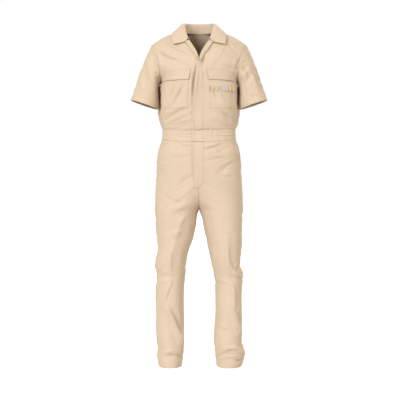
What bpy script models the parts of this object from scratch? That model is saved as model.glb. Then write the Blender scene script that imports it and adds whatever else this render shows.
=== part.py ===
"""Short-sleeved boiler suit in cotton twill, in its worn form with nobody in it.

Metres, +Z up, the front faces -Y, the wearer's right is -X.  The origin lies between the
shoulders at the base of the neck, where the wearer carries it.  Every cloth piece is a hollow
wall; tables are in millimetres, with one row for each section, seam point or fold.
"""
import bpy
import numpy as np

MM = 0.001
WALL = 1.5 * MM                 # twill with its turnings
SEAM_INSET = 0.15 * MM          # each piece stops this far short of a seam
SHARP_SEAM = 0.5                # a seam is sharp where the walls' directions agree less than this
LAYER_GAP = 0.3 * MM            # air between a panel and what is sewn onto it
LAYER = WALL + LAYER_GAP
FOLD_FADE = 0.35                # how square to the front or back a wall must be to fold fully

TWILL = (0.70, 0.58, 0.40, 1.0)
TWILL_INSIDE = (0.60, 0.49, 0.34, 1.0)
LABEL_GREY = (0.62, 0.62, 0.60, 1.0)

# ------------------------------------------------------------------ bodice tables (mm)
# "up" is the distance above the waist seam, measured up the side seam and armhole.
ARMPIT_UP = 215
BODICE_UPS = (0, 14, 34, 54, 73, 92, 113, 134, 155, 176, 196, 215, 240, 267, 288, 310, 334,
              358, 380, 400, 418, 434, 446, 455)
BODICE_ANGLES = (0, 4, 9.8, 21, 33, 45, 57, 69, 80, 90)

#             up    x    y     z
SIDE_SEAM = ((0, 163, 3, -437),
             (14, 166, 3, -424),
             (40, 170, 3, -398),
             (110, 172, 1, -329),
             (170, 171, 0, -270),
             (215, 170, 0, -226))
FRONT_ARMHOLE = ((215, 170, 0, -226),
                 (240, 170, -34, -211),
                 (267, 174, -60, -190),
                 (300, 178, -72, -162),
                 (340, 183, -70, -130),
                 (380, 190, -60, -102),
                 (415, 198, -42, -79),
                 (440, 206, -18, -63),
                 (455, 213, 0, -56))
BACK_ARMHOLE = ((215, 170, 0, -226),
                (240, 168, 34, -209),
                (267, 169, 60, -184),
                (300, 172, 72, -152),
                (340, 178, 72, -118),
                (380, 187, 62, -91),
                (415, 197, 42, -71),
                (440, 206, 18, -60),
                (455, 213, 0, -56))
FRONT_EDGE = ((0, 0, -113, -444),
              (14, 0, -119, -430),
              (40, 0, -124, -403),
              (110, 0, -129, -333),
              (170, 0, -130, -270),
              (215, 0, -130, -222),
              (267, 0, -128, -168),
              (300, 0, -125, -140),
              (318, 2, -122, -124),
              (345, 12, -115, -96),
              (375, 28, -104, -68),
              (400, 44, -89, -44),
              (420, 54, -70, -25),
              (440, 62, -38, -7),
              (455, 66, -4, 2))
BACK_EDGE = ((0, 0, 92, -441),
             (14, 0, 103, -428),
             (40, 0, 110, -400),
             (110, 0, 113, -330),
             (170, 0, 118, -270),
             (215, 0, 121, -222),
             (267, 0, 122, -168),
             (320, 0, 112, -112),
             (360, 0, 97, -68),
             (380, 0, 85, -33),
             (400, 0, 74, 4),
             (418, 30, 65, 5),
             (434, 52, 42, 4),
             (446, 62, 18, 3),
             (455, 66, -4, 2))
#             up  turn squareness crown
FRONT_TURN = ((0, 90, 2.5, 0),
              (200, 90, 2.7, 0),
              (240, 74, 2.6, 0),
              (290, 56, 2.4, 0),
              (340, 44, 2.2, 2),
              (400, 34, 2.1, 8),
              (455, 28, 2.0, 15))
BACK_TURN = ((0, 90, 2.4, 0),
             (200, 90, 2.5, 0),
             (240, 74, 2.4, 0),
             (290, 56, 2.3, 0),
             (340, 44, 2.2, 2),
             (400, 34, 2.1, 8),
             (455, 28, 2.0, 15))
#             up  sideways swell of the back behind the side seams
BACK_BLOUSE = ((0, 2), (20, 14), (60, 23), (120, 24), (165, 26), (190, 25), (204, 18),
               (215, 0), (240, 0), (455, 0))
BLOUSE_FACTOR = 1.5

# ------------------------------------------------------------------ sleeve (mm)
SLEEVE_RINGS = 9
SLEEVE_HEM_CENTRE = (246, 0, -323)
SLEEVE_HEM_HALF = (65, 71)          # across, front to back
SLEEVE_HEM_OUT = (0.947, 0.0, 0.320)      # from the inner to the outer end of the hem
SLEEVE_AXIS = (0.320, 0.0, -0.947)
SLEEVE_HEAD_DIR = (0.50, 0.0, -0.87)      # how the sleeve head leaves the shoulder
SLEEVE_UNDER_DIR = (0.66, 0.0, -0.75)     # how it leaves the armpit

# ------------------------------------------------------------------ trousers (mm)
WAISTBAND_ROWS = 3
# columns of a leg panel, as shares of the way from the centre seam or inseam to the side seam
LEG_SHARES = (0, 0.05, 0.15, 0.26, 0.38, 0.50, 0.62, 0.74, 0.87, 1)
FLY_COLUMN = 1                      # the fly ends on this column, which keeps its place
#             z   outer inner front back seam_y square
HIPS = ((-482, 166, -166, -117, 97, 3, 2.5),
        (-505, 175, -175, -121, 106, 4, 2.5),
        (-540, 184, -184, -124, 120, 6, 2.5),
        (-585, 188, -172, -124, 132, 8, 2.4),
        (-640, 191, -140, -120, 138, 10, 2.3),
        (-690, 194, -98, -115, 136, 12, 2.2),
        (-735, 196, -58, -111, 130, 12, 2.1),
        (-770, 197, -25, -108, 122, 12, 2.1))
#                    z   outer inner front back seam_y square
RIGHT_LEG = HIPS + ((-794, 198, 0, -106, 115, 12, 2.1),
                    (-820, 197, 8, -105, 107, 10, 2.1),
                    (-880, 194, 17, -103, 100, 8, 2.1),
                    (-940, 188, 32, -100, 94, 6, 2.1),
                    (-965, 185, 42, -98, 91, 5, 2.1),
                    (-1010, 193, 54, -95, 87, 3, 2.2),
                    (-1050, 198, 59, -92, 84, 2, 2.2),
                    (-1093, 189, 62, -88, 83, 0, 2.2),
                    (-1130, 193, 66, -87, 84, 0, 2.2),
                    (-1280, 193, 67, -86, 84, 0, 2.2),
                    (-1340, 193, 67, -84, 82, 0, 2.2),
                    (-1390, 189, 67, -82, 80, 0, 2.2),
                    (-1420, 185, 69, -81, 78, 0, 2.2),
                    (-1445, 188, 71, -82, 77, 0, 2.2),
                    (-1470, 186, 74, -84, 76, 0, 2.2),
                    (-1496, 180, 78, -82, 74, 0, 2.2))
LEFT_LEG = HIPS + ((-794, 198, 0, -106, 115, 12, 2.1),
                   (-820, 197, 10, -105, 107, 10, 2.1),
                   (-880, 194, 23, -103, 100, 8, 2.1),
                   (-940, 194, 36, -100, 94, 6, 2.1),
                   (-985, 190, 45, -97, 89, 4, 2.1),
                   (-1040, 185, 58, -93, 84, 2, 2.2),
                   (-1085, 197, 67, -89, 83, 0, 2.2),
                   (-1110, 197, 72, -87, 84, 0, 2.2),
                   (-1150, 193, 73, -86, 84, 0, 2.2),
                   (-1280, 193, 72, -86, 84, 0, 2.2),
                   (-1340, 193, 68, -84, 82, 0, 2.2),
                   (-1390, 193, 67, -82, 80, 0, 2.2),
                   (-1418, 201, 71, -84, 78, 0, 2.2),
                   (-1440, 207, 73, -88, 78, 0, 2.2),
                   (-1470, 200, 76, -86, 76, 0, 2.2),
                   (-1496, 190, 80, -82, 74, 0, 2.2))
LEG_LEVELS = (-482, -496, -516, -540, -566, -592, -618, -645, -672, -700, -724, -745, -763,
              -778, -788, -794, -806, -826, -852, -884, -916, -948, -980, -1010, -1036, -1058,
              -1080, -1104, -1130, -1162, -1196, -1230, -1264, -1298, -1330, -1360, -1388,
              -1412, -1432, -1452, -1474, -1496)
WAIST_FRONT_DIP = 14                # the waistband's lower seam hangs lower in the middle front
DIP_REACH = 60                      # and the trousers below take that up over this height
HEM_BACK_DROP = 4

# slanted hip pocket: share of the way from centre front to side seam where the front stops
POCKET_SLANT = ((-482, 0.55), (-496, 0.60), (-516, 0.68), (-540, 0.76), (-566, 0.85),
                (-592, 0.94), (-618, 1.0))
FACING_AIR = 1.4 * MM               # extra air behind the front, over the seam gap
FACING_COLUMNS = 4
FACING_TUCK = 0.02                  # how far the facing runs on behind the front, same share

# ------------------------------------------------------------------ collar (mm)
#                share   x    y    z     share 0 = gorge on the roll line, 1 = centre back
COLLAR_ROLL = ((0.00, 50, -91, -34),
               (0.15, 58, -72, -8),
               (0.32, 64, -42, 24),
               (0.50, 65, -4, 43),
               (0.68, 59, 34, 50),
               (0.84, 36, 60, 53),
               (1.00, 0, 69, 54))
COLLAR_EDGE = ((0.00, 115, -100, -65),
               (0.15, 121, -74, -35),
               (0.32, 116, -38, -7),
               (0.50, 98, 6, 9),
               (0.68, 77, 48, 4),
               (0.84, 48, 84, -8),
               (1.00, 0, 93, -14))
LEAF_CROWN = 3                      # the leaf swells this far over its straight fall
LEAF_BOW = (-18, -2, -6)            # how the leaf's front edge bows down towards the lapel
GORGE_UP = 400                      # where the collar begins on the front's neck edge
NAPE_UP = 400                       # and where the back's neck edge meets the centre
LAPEL_STOP = 5                      # the lapel ends this far below it

# ------------------------------------------------------------------ what lies on the panels
# rows and columns are positions in a panel's own grid, so each piece follows the panel
STRIP_END = 0.03                    # strips stop this share of a grid row short of a seam
FLY_END_Z = -700
PLACKET_HALF = 22                   # mm each side of the closing line
PLACKET_LEAN = ((0, -22), (92, -21), (155, -17), (215, -13), (267, -8), (303, -4))
#              up   width of the turned-out facing
LAPEL_WIDTH = ((303, 5), (330, 15), (360, 20), (385, 22), (400, 22))
LAPEL_LIFT = ((0.0, 0.4), (0.5, 3.0), (1.0, 4.5))

# ------------------------------------------------------------------ folds (mm)
# path points in the front view, width across, rise (minus is a furrow)
#                 x1    z1    x2    z2    x3    z3   width rise
FRONT_FOLDS = ((-180, -93, -135, -130, -60, -162, 16, -6),
               (-140, -53, -105, -100, -57, -128, 14, -3),
               (62, -62, 26, -118, 12, -160, 14, -6),
               (119, -163, 145, -172, 170, -184, 12, -5),
               (-105, -251, -120, -280, -136, -312, 14, -4),
               (-66, -246, -85, -290, -105, -330, 13, -3),
               (-83, -251, -100, -292, -118, -334, 11, 4),
               (-57, -363, -105, -380, -145, -405, 12, -5),
               (-26, -418, -60, -424, -92, -431, 12, -3),
               (66, -282, 77, -300, 88, -321, 13, -4),
               (97, -277, 115, -300, 132, -330, 13, -4),
               (136, -290, 146, -320, 154, -356, 12, -3),
               (101, -365, 125, -385, 145, -413, 13, -5),
               (75, -400, 105, -420, 136, -438, 13, -4),
               (-101, -506, -75, -519, -26, -523, 12, -4),
               (26, -532, 70, -521, 101, -508, 12, -4),
               (100, -509, 101, -532, 132, -505, 12, -5),
               (84, -629, 119, -611, 158, -585, 14, -6),
               (110, -640, 132, -611, 149, -598, 11, 5),
               (-127, -567, -80, -564, -31, -558, 14, -3),
               (26, -576, 65, -574, 101, -567, 14, -3),
               (-92, -694, -60, -665, -31, -646, 16, -4),
               (-115, -796, -90, -783, -62, -769, 16, 6),
               (-119, -902, -99, -895, -79, -888, 15, 5),
               (-44, -804, -79, -849, -101, -928, 20, 6),
               (-101, -928, -124, -1008, -119, -1061, 18, 6),
               (-172, -1100, -150, -1087, -128, -1092, 13, -7),
               (-185, -1115, -155, -1108, -125, -1104, 12, 6),
               (-154, -1202, -124, -1250, -97, -1317, 16, 7),
               (-97, -1317, -80, -1360, -66, -1414, 15, 6),
               (-137, -1206, -97, -1273, -79, -1348, 14, -5),
               (-172, -1428, -137, -1412, -97, -1420, 13, 7),
               (-141, -1430, -119, -1427, -71, -1440, 12, -6),
               (124, -906, 124, -1008, 133, -1070, 20, 5),
               (150, -1115, 152, -1190, 150, -1259, 18, 4),
               (133, -1025, 159, -1069, 186, -1094, 13, 8),
               (181, -1003, 170, -1020, 157, -1039, 12, 5),
               (128, -1090, 155, -1094, 181, -1104, 12, -7),
               (71, -1096, 105, -1103, 137, -1109, 12, 5),
               (93, -1425, 146, -1411, 200, -1430, 13, -7),
               (85, -1440, 146, -1428, 205, -1442, 13, 6),
               (159, -1452, 180, -1458, 203, -1452, 12, -6),
               (88, -1330, 110, -1334, 137, -1339, 13, -4),
               (155, -1264, 177, -1326, 186, -1370, 14, 6))
BACK_FOLDS = ((-185, -150, -165, -200, -150, -260, 15, -6),
              (185, -150, 166, -200, 148, -265, 15, -6),
              (-160, -395, -100, -412, -30, -405, 16, 8),
              (30, -398, 105, -408, 160, -390, 16, 8),
              (-165, -420, -90, -432, -20, -428, 12, -5),
              (20, -430, 100, -430, 165, -420, 12, -5),
              (-150, -540, -90, -560, -30, -552, 16, -4),
              (30, -556, 95, -566, 150, -545, 16, -4),
              (-150, -790, -100, -812, -45, -806, 16, -7),
              (45, -808, 105, -818, 155, -795, 16, -7),
              (-170, -845, -120, -860, -60, -850, 15, -5),
              (60, -856, 115, -868, 172, -850, 15, -5),
              (-180, -1060, -125, -1080, -75, -1068, 15, -8),
              (75, -1070, 130, -1085, 185, -1066, 15, -8),
              (-178, -1120, -130, -1138, -80, -1126, 14, -6),
              (80, -1130, 135, -1146, 182, -1128, 14, -6),
              (-175, -1400, -130, -1420, -85, -1408, 14, 7),
              (85, -1405, 140, -1424, 190, -1410, 14, 7),
              (-178, -1440, -130, -1452, -85, -1444, 13, -6),
              (85, -1442, 140, -1456, 195, -1446, 13, -6))
SLEEVE_FOLDS = ((-244, -140, -235, -197, -218, -262, 13, -6),
                (-213, -80, -203, -125, -190, -172, 13, -5),
                (217, -157, 202, -172, 190, -190, 12, -5),
                (235, -184, 222, -212, 206, -240, 13, -6),
                (262, -184, 274, -225, 286, -266, 14, -5),
                (225, -290, 242, -296, 258, -304, 12, -3))


# ------------------------------------------------------------------ curves through tables
def smooth(table, keys):
    """Every other column of a table at the keys of its first, on a smooth curve."""
    rows = np.array(table, dtype=float)
    if rows[0, 0] > rows[-1, 0]:
        rows = rows[::-1]
    x, y = rows[:, 0], rows[:, 1:]
    step = np.diff(x)[:, None]
    slope = np.diff(y, axis=0) / step
    tangent = np.empty_like(y)
    tangent[1:-1] = (slope[:-1] * step[1:] + slope[1:] * step[:-1]) / (step[:-1] + step[1:])
    tangent[0], tangent[-1] = slope[0], slope[-1]
    keys = np.clip(np.atleast_1d(np.asarray(keys, dtype=float)), x[0], x[-1])
    i = np.clip(np.searchsorted(x, keys, side="right") - 1, 0, len(x) - 2)
    h = step[i]
    t = ((keys - x[i]) / h[:, 0])[:, None]
    return ((2 * t**3 - 3 * t**2 + 1) * y[i] + (t**3 - 2 * t**2 + t) * h * tangent[i]
            + (3 * t**2 - 2 * t**3) * y[i + 1] + (t**3 - t**2) * h * tangent[i + 1])


def straight(table, keys):
    """The second column of a table at the keys of its first, point to point."""
    rows = np.array(sorted(table), dtype=float)
    return np.interp(keys, rows[:, 0], rows[:, 1])


def signed_power(value, power):
    return np.sign(value) * np.abs(value) ** power


# ------------------------------------------------------------------ the garment's surface
def side_edge(armhole, ups):
    """Side seam up to the armpit, then the armhole to the shoulder."""
    ups = np.asarray(ups, dtype=float)
    seam = smooth(SIDE_SEAM, np.minimum(ups, ARMPIT_UP))
    hole = smooth(armhole, np.maximum(ups, ARMPIT_UP))
    return np.where((ups <= ARMPIT_UP)[:, None], seam, hole)


def bodice_half(ups, angles, edge, armhole, turn_table, swell_table=((0, 0), (455, 0))):
    """Half a bodice panel: one row of points for each up, centre line to side."""
    swell = BLOUSE_FACTOR * smooth(swell_table, ups)
    inner = smooth(edge, ups)
    inner[:, 0] = np.maximum(inner[:, 0], 0.0)
    outer = side_edge(armhole, ups)
    turn, square, crown = smooth(turn_table, ups).T
    full = np.radians(np.clip(turn, 0, 90))[:, None]
    angle = full * np.asarray(angles, dtype=float)[None, :] / 90.0
    power = (2.0 / square)[:, None]
    across = np.sin(angle) ** power / np.sin(full) ** power
    around = (1 - signed_power(np.cos(angle), power)) / (1 - signed_power(np.cos(full), power))
    span = outer - inner
    x = inner[:, :1] + span[:, :1] * across + swell * np.sin(angle)**2 * np.sin(2 * angle)
    y = inner[:, 1:2] + span[:, 1:2] * around
    z = inner[:, 2:] + span[:, 2:] * across + crown[:, None] * 4 * across * (1 - across)
    return np.stack((x, y, z), axis=2) * MM


def sleeve_tube(rings, front_ups, back_ups):
    """Rings from the armhole to the hem, each from the armpit round the front and back."""
    front = side_edge(FRONT_ARMHOLE, front_ups)
    back = side_edge(BACK_ARMHOLE, back_ups)[::-1][1:-1]
    head = np.vstack((front, back))
    share = np.concatenate((np.linspace(0, 0.5, len(front)),
                            np.linspace(0.5, 1, len(back) + 2)[1:-1]))
    turn = 2 * np.pi * share[:, None]
    half_across, half_deep = SLEEVE_HEM_HALF
    hem = (np.array(SLEEVE_HEM_CENTRE) - half_across * np.cos(turn) * np.array(SLEEVE_HEM_OUT)
           + half_deep * np.sin(turn) * np.array((0.0, -1.0, 0.0)))
    top = (0.5 - 0.5 * np.cos(turn)) ** 0.8
    leave = (1 - top) * np.array(SLEEVE_UNDER_DIR) + top * np.array(SLEEVE_HEAD_DIR)
    arrive = np.array(SLEEVE_AXIS)
    length = np.linalg.norm(hem - head, axis=1)[:, None]
    points = []
    for t in np.linspace(0, 1, rings):
        points.append((2 * t**3 - 3 * t**2 + 1) * head + (t**3 - 2 * t**2 + t) * length * leave
                      + (3 * t**2 - 2 * t**3) * hem + (t**3 - t**2) * length * arrive)
    tube = np.array(points)
    return np.concatenate((tube, tube[:, :1]), axis=1) * MM


def leg_panel(table, levels, shares, back):
    """A trouser panel: rows down the leg, columns from the centre seam or inseam to the side.

    shares has one row of column positions for each level."""
    outer, inner, front, rear, seam_y, square = smooth(table, levels).T
    centre, half = (outer + inner) / 2, (outer - inner) / 2
    reach = np.clip(centre / half, 0.0, 1.0)
    start = np.where(inner < 0, np.arccos(-reach ** (square / 2)), np.pi)
    angle = start[:, None] * (1 - shares)
    power = (2.0 / square)[:, None]
    deep = (rear - seam_y if back else front - seam_y)[:, None]
    x = centre[:, None] + half[:, None] * signed_power(np.cos(angle), power)
    y = seam_y[:, None] + deep * np.abs(np.sin(angle)) ** power
    levels = np.asarray(levels, dtype=float)
    z = np.repeat(levels[:, None], shares.shape[1], axis=1)
    if back:
        z = z - HEM_BACK_DROP * np.clip((-1400 - levels) / 96, 0, 1)[:, None] * np.sin(angle)
    else:
        fade = np.clip(1 - (levels[0] - levels) / DIP_REACH, 0, 1)[:, None]
        z = z - WAIST_FRONT_DIP * fade * np.clip(np.sin(angle), 0, 1) ** 2
    centre_seam = (shares == 0) & (inner < 0)[:, None]
    x = np.where(centre_seam, SEAM_INSET / MM, x)
    return np.stack((x, y, z), axis=2) * MM


def fly_share(table, levels):
    """Share of the way round at which a front is a fly's half width from the centre seam."""
    outer, inner, _, _, _, square = smooth(table, np.maximum(levels, FLY_END_Z)).T
    centre, half = (outer + inner) / 2, (outer - inner) / 2
    start = np.arccos(signed_power(-centre / half, square / 2))
    edge = np.arccos(signed_power((PLACKET_HALF - centre) / half, square / 2))
    return 1 - edge / start


def mirror(grid):
    return grid * np.array((-1.0, 1.0, 1.0))


# ------------------------------------------------------------------ folds and normals
def fold_height(points, folds):
    """Rise of the folds at points given in the front view, in metres."""
    rise = np.zeros(len(points))
    flat = points[:, (0, 2)] / MM
    for x1, z1, x2, z2, x3, z3, width, height in folds:
        path = np.array(((x1, z1), (x2, z2), (x3, z3)), dtype=float)
        best = np.full(len(points), np.inf)
        along = np.zeros(len(points))
        lengths = np.linalg.norm(np.diff(path, axis=0), axis=1)
        for k in range(2):
            run = path[k + 1] - path[k]
            t = np.clip((flat - path[k]) @ run / (lengths[k] ** 2), 0, 1)
            gap = np.linalg.norm(flat - path[k] - t[:, None] * run, axis=1)
            nearer = gap < best
            best = np.where(nearer, gap, best)
            along = np.where(nearer, (lengths[:k].sum() + t * lengths[k]) / lengths.sum(), along)
        taper = 0.35 + 0.65 * np.sin(np.pi * np.clip(along, 0, 1))
        rise += height * MM * taper * np.exp(-(best / width) ** 2)
    return rise


def triangles(index, flip, turned=0):
    """Two triangles for each cell of an index grid; the first turned columns split the other way."""
    faces = []
    for r in range(index.shape[0] - 1):
        for c in range(index.shape[1] - 1):
            a, b = index[r, c], index[r, c + 1]
            d, e = index[r + 1, c], index[r + 1, c + 1]
            faces += [(a, b, d), (b, e, d)] if c < turned else [(a, b, e), (a, e, d)]
    return [face[::-1] for face in faces] if flip else faces


def square_to(points, faces):
    """Unit directions square to a surface at its points."""
    faces = np.array(faces)
    corner = points[faces]
    cross = np.cross(corner[:, 1] - corner[:, 0], corner[:, 2] - corner[:, 0])
    total = np.zeros_like(points)
    for k in range(3):
        np.add.at(total, faces[:, k], cross)
    return total / np.maximum(np.linalg.norm(total, axis=1)[:, None], 1e-12)


class Cloth:
    """All the outer walls, joined at their seams, so that they share points and normals."""

    def __init__(self):
        self.points, self.faces, self.keys, self.grids = [], [], {}, {}

    def add(self, node, grid, flip, group):
        """Weld a grid of points into the surface; group tells which folds it takes."""
        index = np.empty(grid.shape[:2], dtype=int)
        for r in range(grid.shape[0]):
            for c in range(grid.shape[1]):
                key = tuple(np.round(grid[r, c] * 1e5).astype(int))
                if key not in self.keys:
                    self.keys[key] = len(self.points)
                    self.points.append(grid[r, c])
                index[r, c] = self.keys[key]
        self.faces.extend((node, face) for face in triangles(index, flip))
        self.grids.setdefault(node, []).append((index, group))

    def normals(self):
        return square_to(np.array(self.points), [face for _, face in self.faces])

    def fold(self):
        """Raise ridges and sink furrows, square to the smooth wall."""
        points, normal = np.array(self.points), self.normals()
        sleeve = np.zeros(len(points), dtype=bool)
        body = np.zeros(len(points), dtype=bool)
        for grids in self.grids.values():
            for index, group in grids:
                (sleeve if group == "sleeve" else body)[index.ravel()] = True
        front = np.clip(-normal[:, 1] / FOLD_FADE, 0, 1)
        rear = np.clip(normal[:, 1] / FOLD_FADE, 0, 1)
        rise = np.where(sleeve & ~body, fold_height(points, SLEEVE_FOLDS),
                        fold_height(points, FRONT_FOLDS)) * front
        rise += np.where(sleeve, 0.0, fold_height(points, BACK_FOLDS)) * rear
        rise = np.where(sleeve & body, 0.0, rise)
        self.points = list(points + normal * rise[:, None])

    def finish(self):
        """Fix the points and the directions square to the walls; a sharp underarm keeps two."""
        self.place = np.array(self.points)
        self.square = self.normals()
        own = {}
        for group in ("body", "sleeve"):
            faces = [face for node, face in self.faces if self.grids[node][0][1] == group]
            own[group] = square_to(self.place, faces)
        meet = (own["body"] * own["sleeve"]).sum(axis=1)
        here = np.linalg.norm(own["body"], axis=1) * np.linalg.norm(own["sleeve"], axis=1) > 0.5
        sharp = (here & (meet < SHARP_SEAM))[:, None]
        self.own = {group: np.where(sharp, square, self.square) for group, square in own.items()}

    def grid(self, node, which=0):
        """The folded outer points of a panel and the directions square to them."""
        index = self.grids[node][which][0]
        return self.place[index], self.square[index]


# ------------------------------------------------------------------ solids
def twill_material(name, colour):
    material = bpy.data.materials.new(name)
    material.use_nodes = True
    shader = material.node_tree.nodes["Principled BSDF"]
    shader.inputs["Base Color"].default_value = colour
    shader.inputs["Roughness"].default_value = 0.85
    shader.inputs["Metallic"].default_value = 0.0
    return material


def make_object(name, points, faces, colour, collection):
    mesh = bpy.data.meshes.new(name)
    mesh.from_pydata([tuple(p) for p in points], [], faces)
    mesh.validate()
    mesh.update()
    obj = bpy.data.objects.new(name, mesh)
    collection.objects.link(obj)
    mesh.materials.append(twill_material(name, colour))
    return obj


def open_edges(faces):
    """The directed edges that only one face has."""
    edges = {(face[k], face[(k + 1) % 3]) for face in faces for k in range(3)}
    return [(a, b) for a, b in sorted(edges) if (b, a) not in edges]


def closed_wall(outer, inner, faces):
    """Faces of a wall between an outer and an inner layer that have the same triangles."""
    count = len(outer)
    wall = [tuple(int(v) for v in face) for face in faces]
    wall += [tuple(int(v) + count for v in face[::-1]) for face in faces]
    for a, b in open_edges(faces):
        wall += [(b, a, a + count), (b, a + count, b + count)]
    return np.vstack((outer, inner)), wall


def panel_wall(cloth, node, lift=0.0):
    """The node's panels as one wall, each free or seamed edge drawn in a little."""
    faces = [face for owner, face in cloth.faces if owner == node]
    used = sorted({v for face in faces for v in face})
    local = {v: k for k, v in enumerate(used)}
    faces = [tuple(local[v] for v in face) for face in faces]
    place = cloth.place[used]
    square = cloth.own[cloth.grids[node][0][1]][used]
    outer = place + square * lift
    inner = outer - square * WALL
    rim = {v for edge in open_edges(faces) for v in edge}
    next_to = {v: set() for v in rim}
    for face in faces:
        for v in face:
            if v in next_to:
                next_to[v].update(face)
    shift = np.zeros_like(outer)
    for v in rim:
        inside = [w for w in next_to[v] if w not in rim] or [w for w in next_to[v] if w != v]
        aim = outer[inside].mean(axis=0) - outer[v]
        aim -= square[v] * (aim @ square[v])
        shift[v] = SEAM_INSET * aim / max(np.linalg.norm(aim), 1e-9)
    return closed_wall(outer + shift, inner + shift, faces)


def grid_index(grid):
    return np.arange(grid.shape[0] * grid.shape[1]).reshape(grid.shape[:2])


def sheet_wall(outer, inner, flip, turned=0):
    """A wall between two grids of points."""
    faces = triangles(grid_index(outer), flip, turned)
    return closed_wall(outer.reshape(-1, 3), inner.reshape(-1, 3), faces)


def own_wall(grid, flip, lift):
    """A wall on a grid of its own, moved out by lift."""
    flat = grid.reshape(-1, 3)
    faces = triangles(grid_index(grid), flip)
    square = square_to(flat, faces)
    outer = flat + square * lift
    return closed_wall(outer, outer - square * WALL, faces)


def take(grid, rows, columns, turned=0):
    """Points at fractional row and column positions of a grid, on its triangles."""
    rows, columns = np.broadcast_arrays(np.asarray(rows, float), np.asarray(columns, float))
    r = np.clip(np.floor(rows).astype(int), 0, grid.shape[0] - 2)
    c = np.clip(np.floor(columns).astype(int), 0, grid.shape[1] - 2)
    u, v = (rows - r)[..., None], (columns - c)[..., None]
    a, b, d, e = grid[r, c], grid[r, c + 1], grid[r + 1, c], grid[r + 1, c + 1]
    one_way = np.where(u <= v, a + v * (b - a) + u * (e - b), a + u * (d - a) + v * (e - d))
    other = np.where(u + v <= 1, a + v * (b - a) + u * (d - a),
                     e + (1 - v) * (d - e) + (1 - u) * (b - e))
    return np.where((c < turned)[..., None], other, one_way)


def laid_on(place, square, rows, columns, lift, flip, turned=0):
    """A piece that follows a panel at a height, from the panel's own points moved out."""
    points = take(place, rows, columns, turned)
    normal = take(square, rows, columns, turned)
    normal /= np.linalg.norm(normal, axis=2)[..., None]
    lift = np.asarray(lift, dtype=float)
    lift = np.broadcast_to(lift, points.shape[:2])[..., None]
    split = int(np.sum(np.asarray(columns)[0] < turned))
    return sheet_wall(points + normal * (lift + WALL), points + normal * lift, flip, split)


def row_of(ups, values):
    """Fractional grid rows of given heights."""
    return np.interp(values, ups, np.arange(len(ups)))


# ------------------------------------------------------------------ building
def weave_surface():
    """Weld the bodice, sleeves, waistband and trousers into one surface, then fold it."""
    cloth = Cloth()
    front = bodice_half(BODICE_UPS, BODICE_ANGLES, FRONT_EDGE, FRONT_ARMHOLE, FRONT_TURN)
    back = bodice_half(BODICE_UPS, BODICE_ANGLES, BACK_EDGE, BACK_ARMHOLE, BACK_TURN,
                       BACK_BLOUSE)
    cloth.add("front_left", front, False, "body")
    cloth.add("front_right", mirror(front), True, "body")
    cloth.add("back", back, True, "body")
    cloth.add("back", mirror(back), False, "body")
    arm_ups = [up for up in BODICE_UPS if up >= ARMPIT_UP]
    tube = sleeve_tube(SLEEVE_RINGS, arm_ups, arm_ups)
    cloth.add("sleeve_left", tube, True, "sleeve")
    cloth.add("sleeve_right", mirror(tube), False, "sleeve")

    levels = np.array(LEG_LEVELS)
    slant = np.interp(-levels, *np.array([(-z, share) for z, share in POCKET_SLANT]).T)
    shares = np.repeat(np.array(LEG_SHARES)[None, :], len(levels), axis=0)
    fixed = LEG_SHARES[FLY_COLUMN]
    cut = np.where(shares > fixed,
                   fixed + (shares - fixed) * (slant[:, None] - fixed) / (1 - fixed), shares)
    pocket = levels >= POCKET_SLANT[-1][0]
    begin = (slant[pocket] - FACING_TUCK)[:, None]
    facing = begin + (1 - begin) * np.linspace(0, 1, FACING_COLUMNS + 1)[None, :]
    shares[:, FLY_COLUMN] = cut[:, FLY_COLUMN] = fly_share(HIPS, levels)
    for side, table, turn in (("left", LEFT_LEG, np.array), ("right", RIGHT_LEG, mirror)):
        flip = side == "right"
        whole = leg_panel(table, levels, cut, False)
        rear = leg_panel(table, levels, shares, True)
        cloth.add("leg_front_" + side, turn(whole), not flip, "body")
        cloth.add("leg_back_" + side, turn(rear), flip, "body")
        behind = leg_panel(table, levels[pocket], facing, False)
        cloth.add("hip_facing_" + side, turn(behind), not flip, "body")
        whole = leg_panel(table, levels[:1], shares[:1], False)
        for node, above, below, face_flip in (("waistband_" + side, front, whole, not flip),
                                              ("waistband_back", back, rear, flip)):
            band = np.linspace(above[0], below[0], WAISTBAND_ROWS)
            band[:, 0, 0] = 0.0
            cloth.add(node, turn(band), face_flip, "body")
    cloth.fold()
    cloth.finish()
    return cloth


def both_fronts(cloth, prefix):
    """The right and left fronts as one grid from the right side seam to the left."""
    left_place, left_square = cloth.grid(prefix + "_left")
    right_place, right_square = cloth.grid(prefix + "_right")
    return (np.concatenate((right_place[:, ::-1], left_place), axis=1),
            np.concatenate((right_square[:, ::-1], left_square), axis=1))


def chest_pockets(cloth, build):
    ups = np.array(BODICE_UPS)
    pocket_rows = np.arange(np.searchsorted(ups, 92), np.searchsorted(ups, 240) + 1)
    flap_rows = np.arange(np.searchsorted(ups, 215), np.searchsorted(ups, 267) + 1)
    columns = np.arange(BODICE_ANGLES.index(9.8), BODICE_ANGLES.index(69) + 1)
    for side in ("left", "right"):
        place, square = cloth.grid("front_" + side)
        flip = side == "right"
        build("pocket_" + side, *laid_on(place, square, pocket_rows[:, None], columns[None, :],
                                         LAYER_GAP, flip))
        lift = np.array((2 * LAYER + LAYER_GAP, LAYER + LAYER_GAP, LAYER_GAP))
        build("flap_" + side, *laid_on(place, square, flap_rows[:, None], columns[None, :],
                                       lift[:, None], flip))


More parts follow.
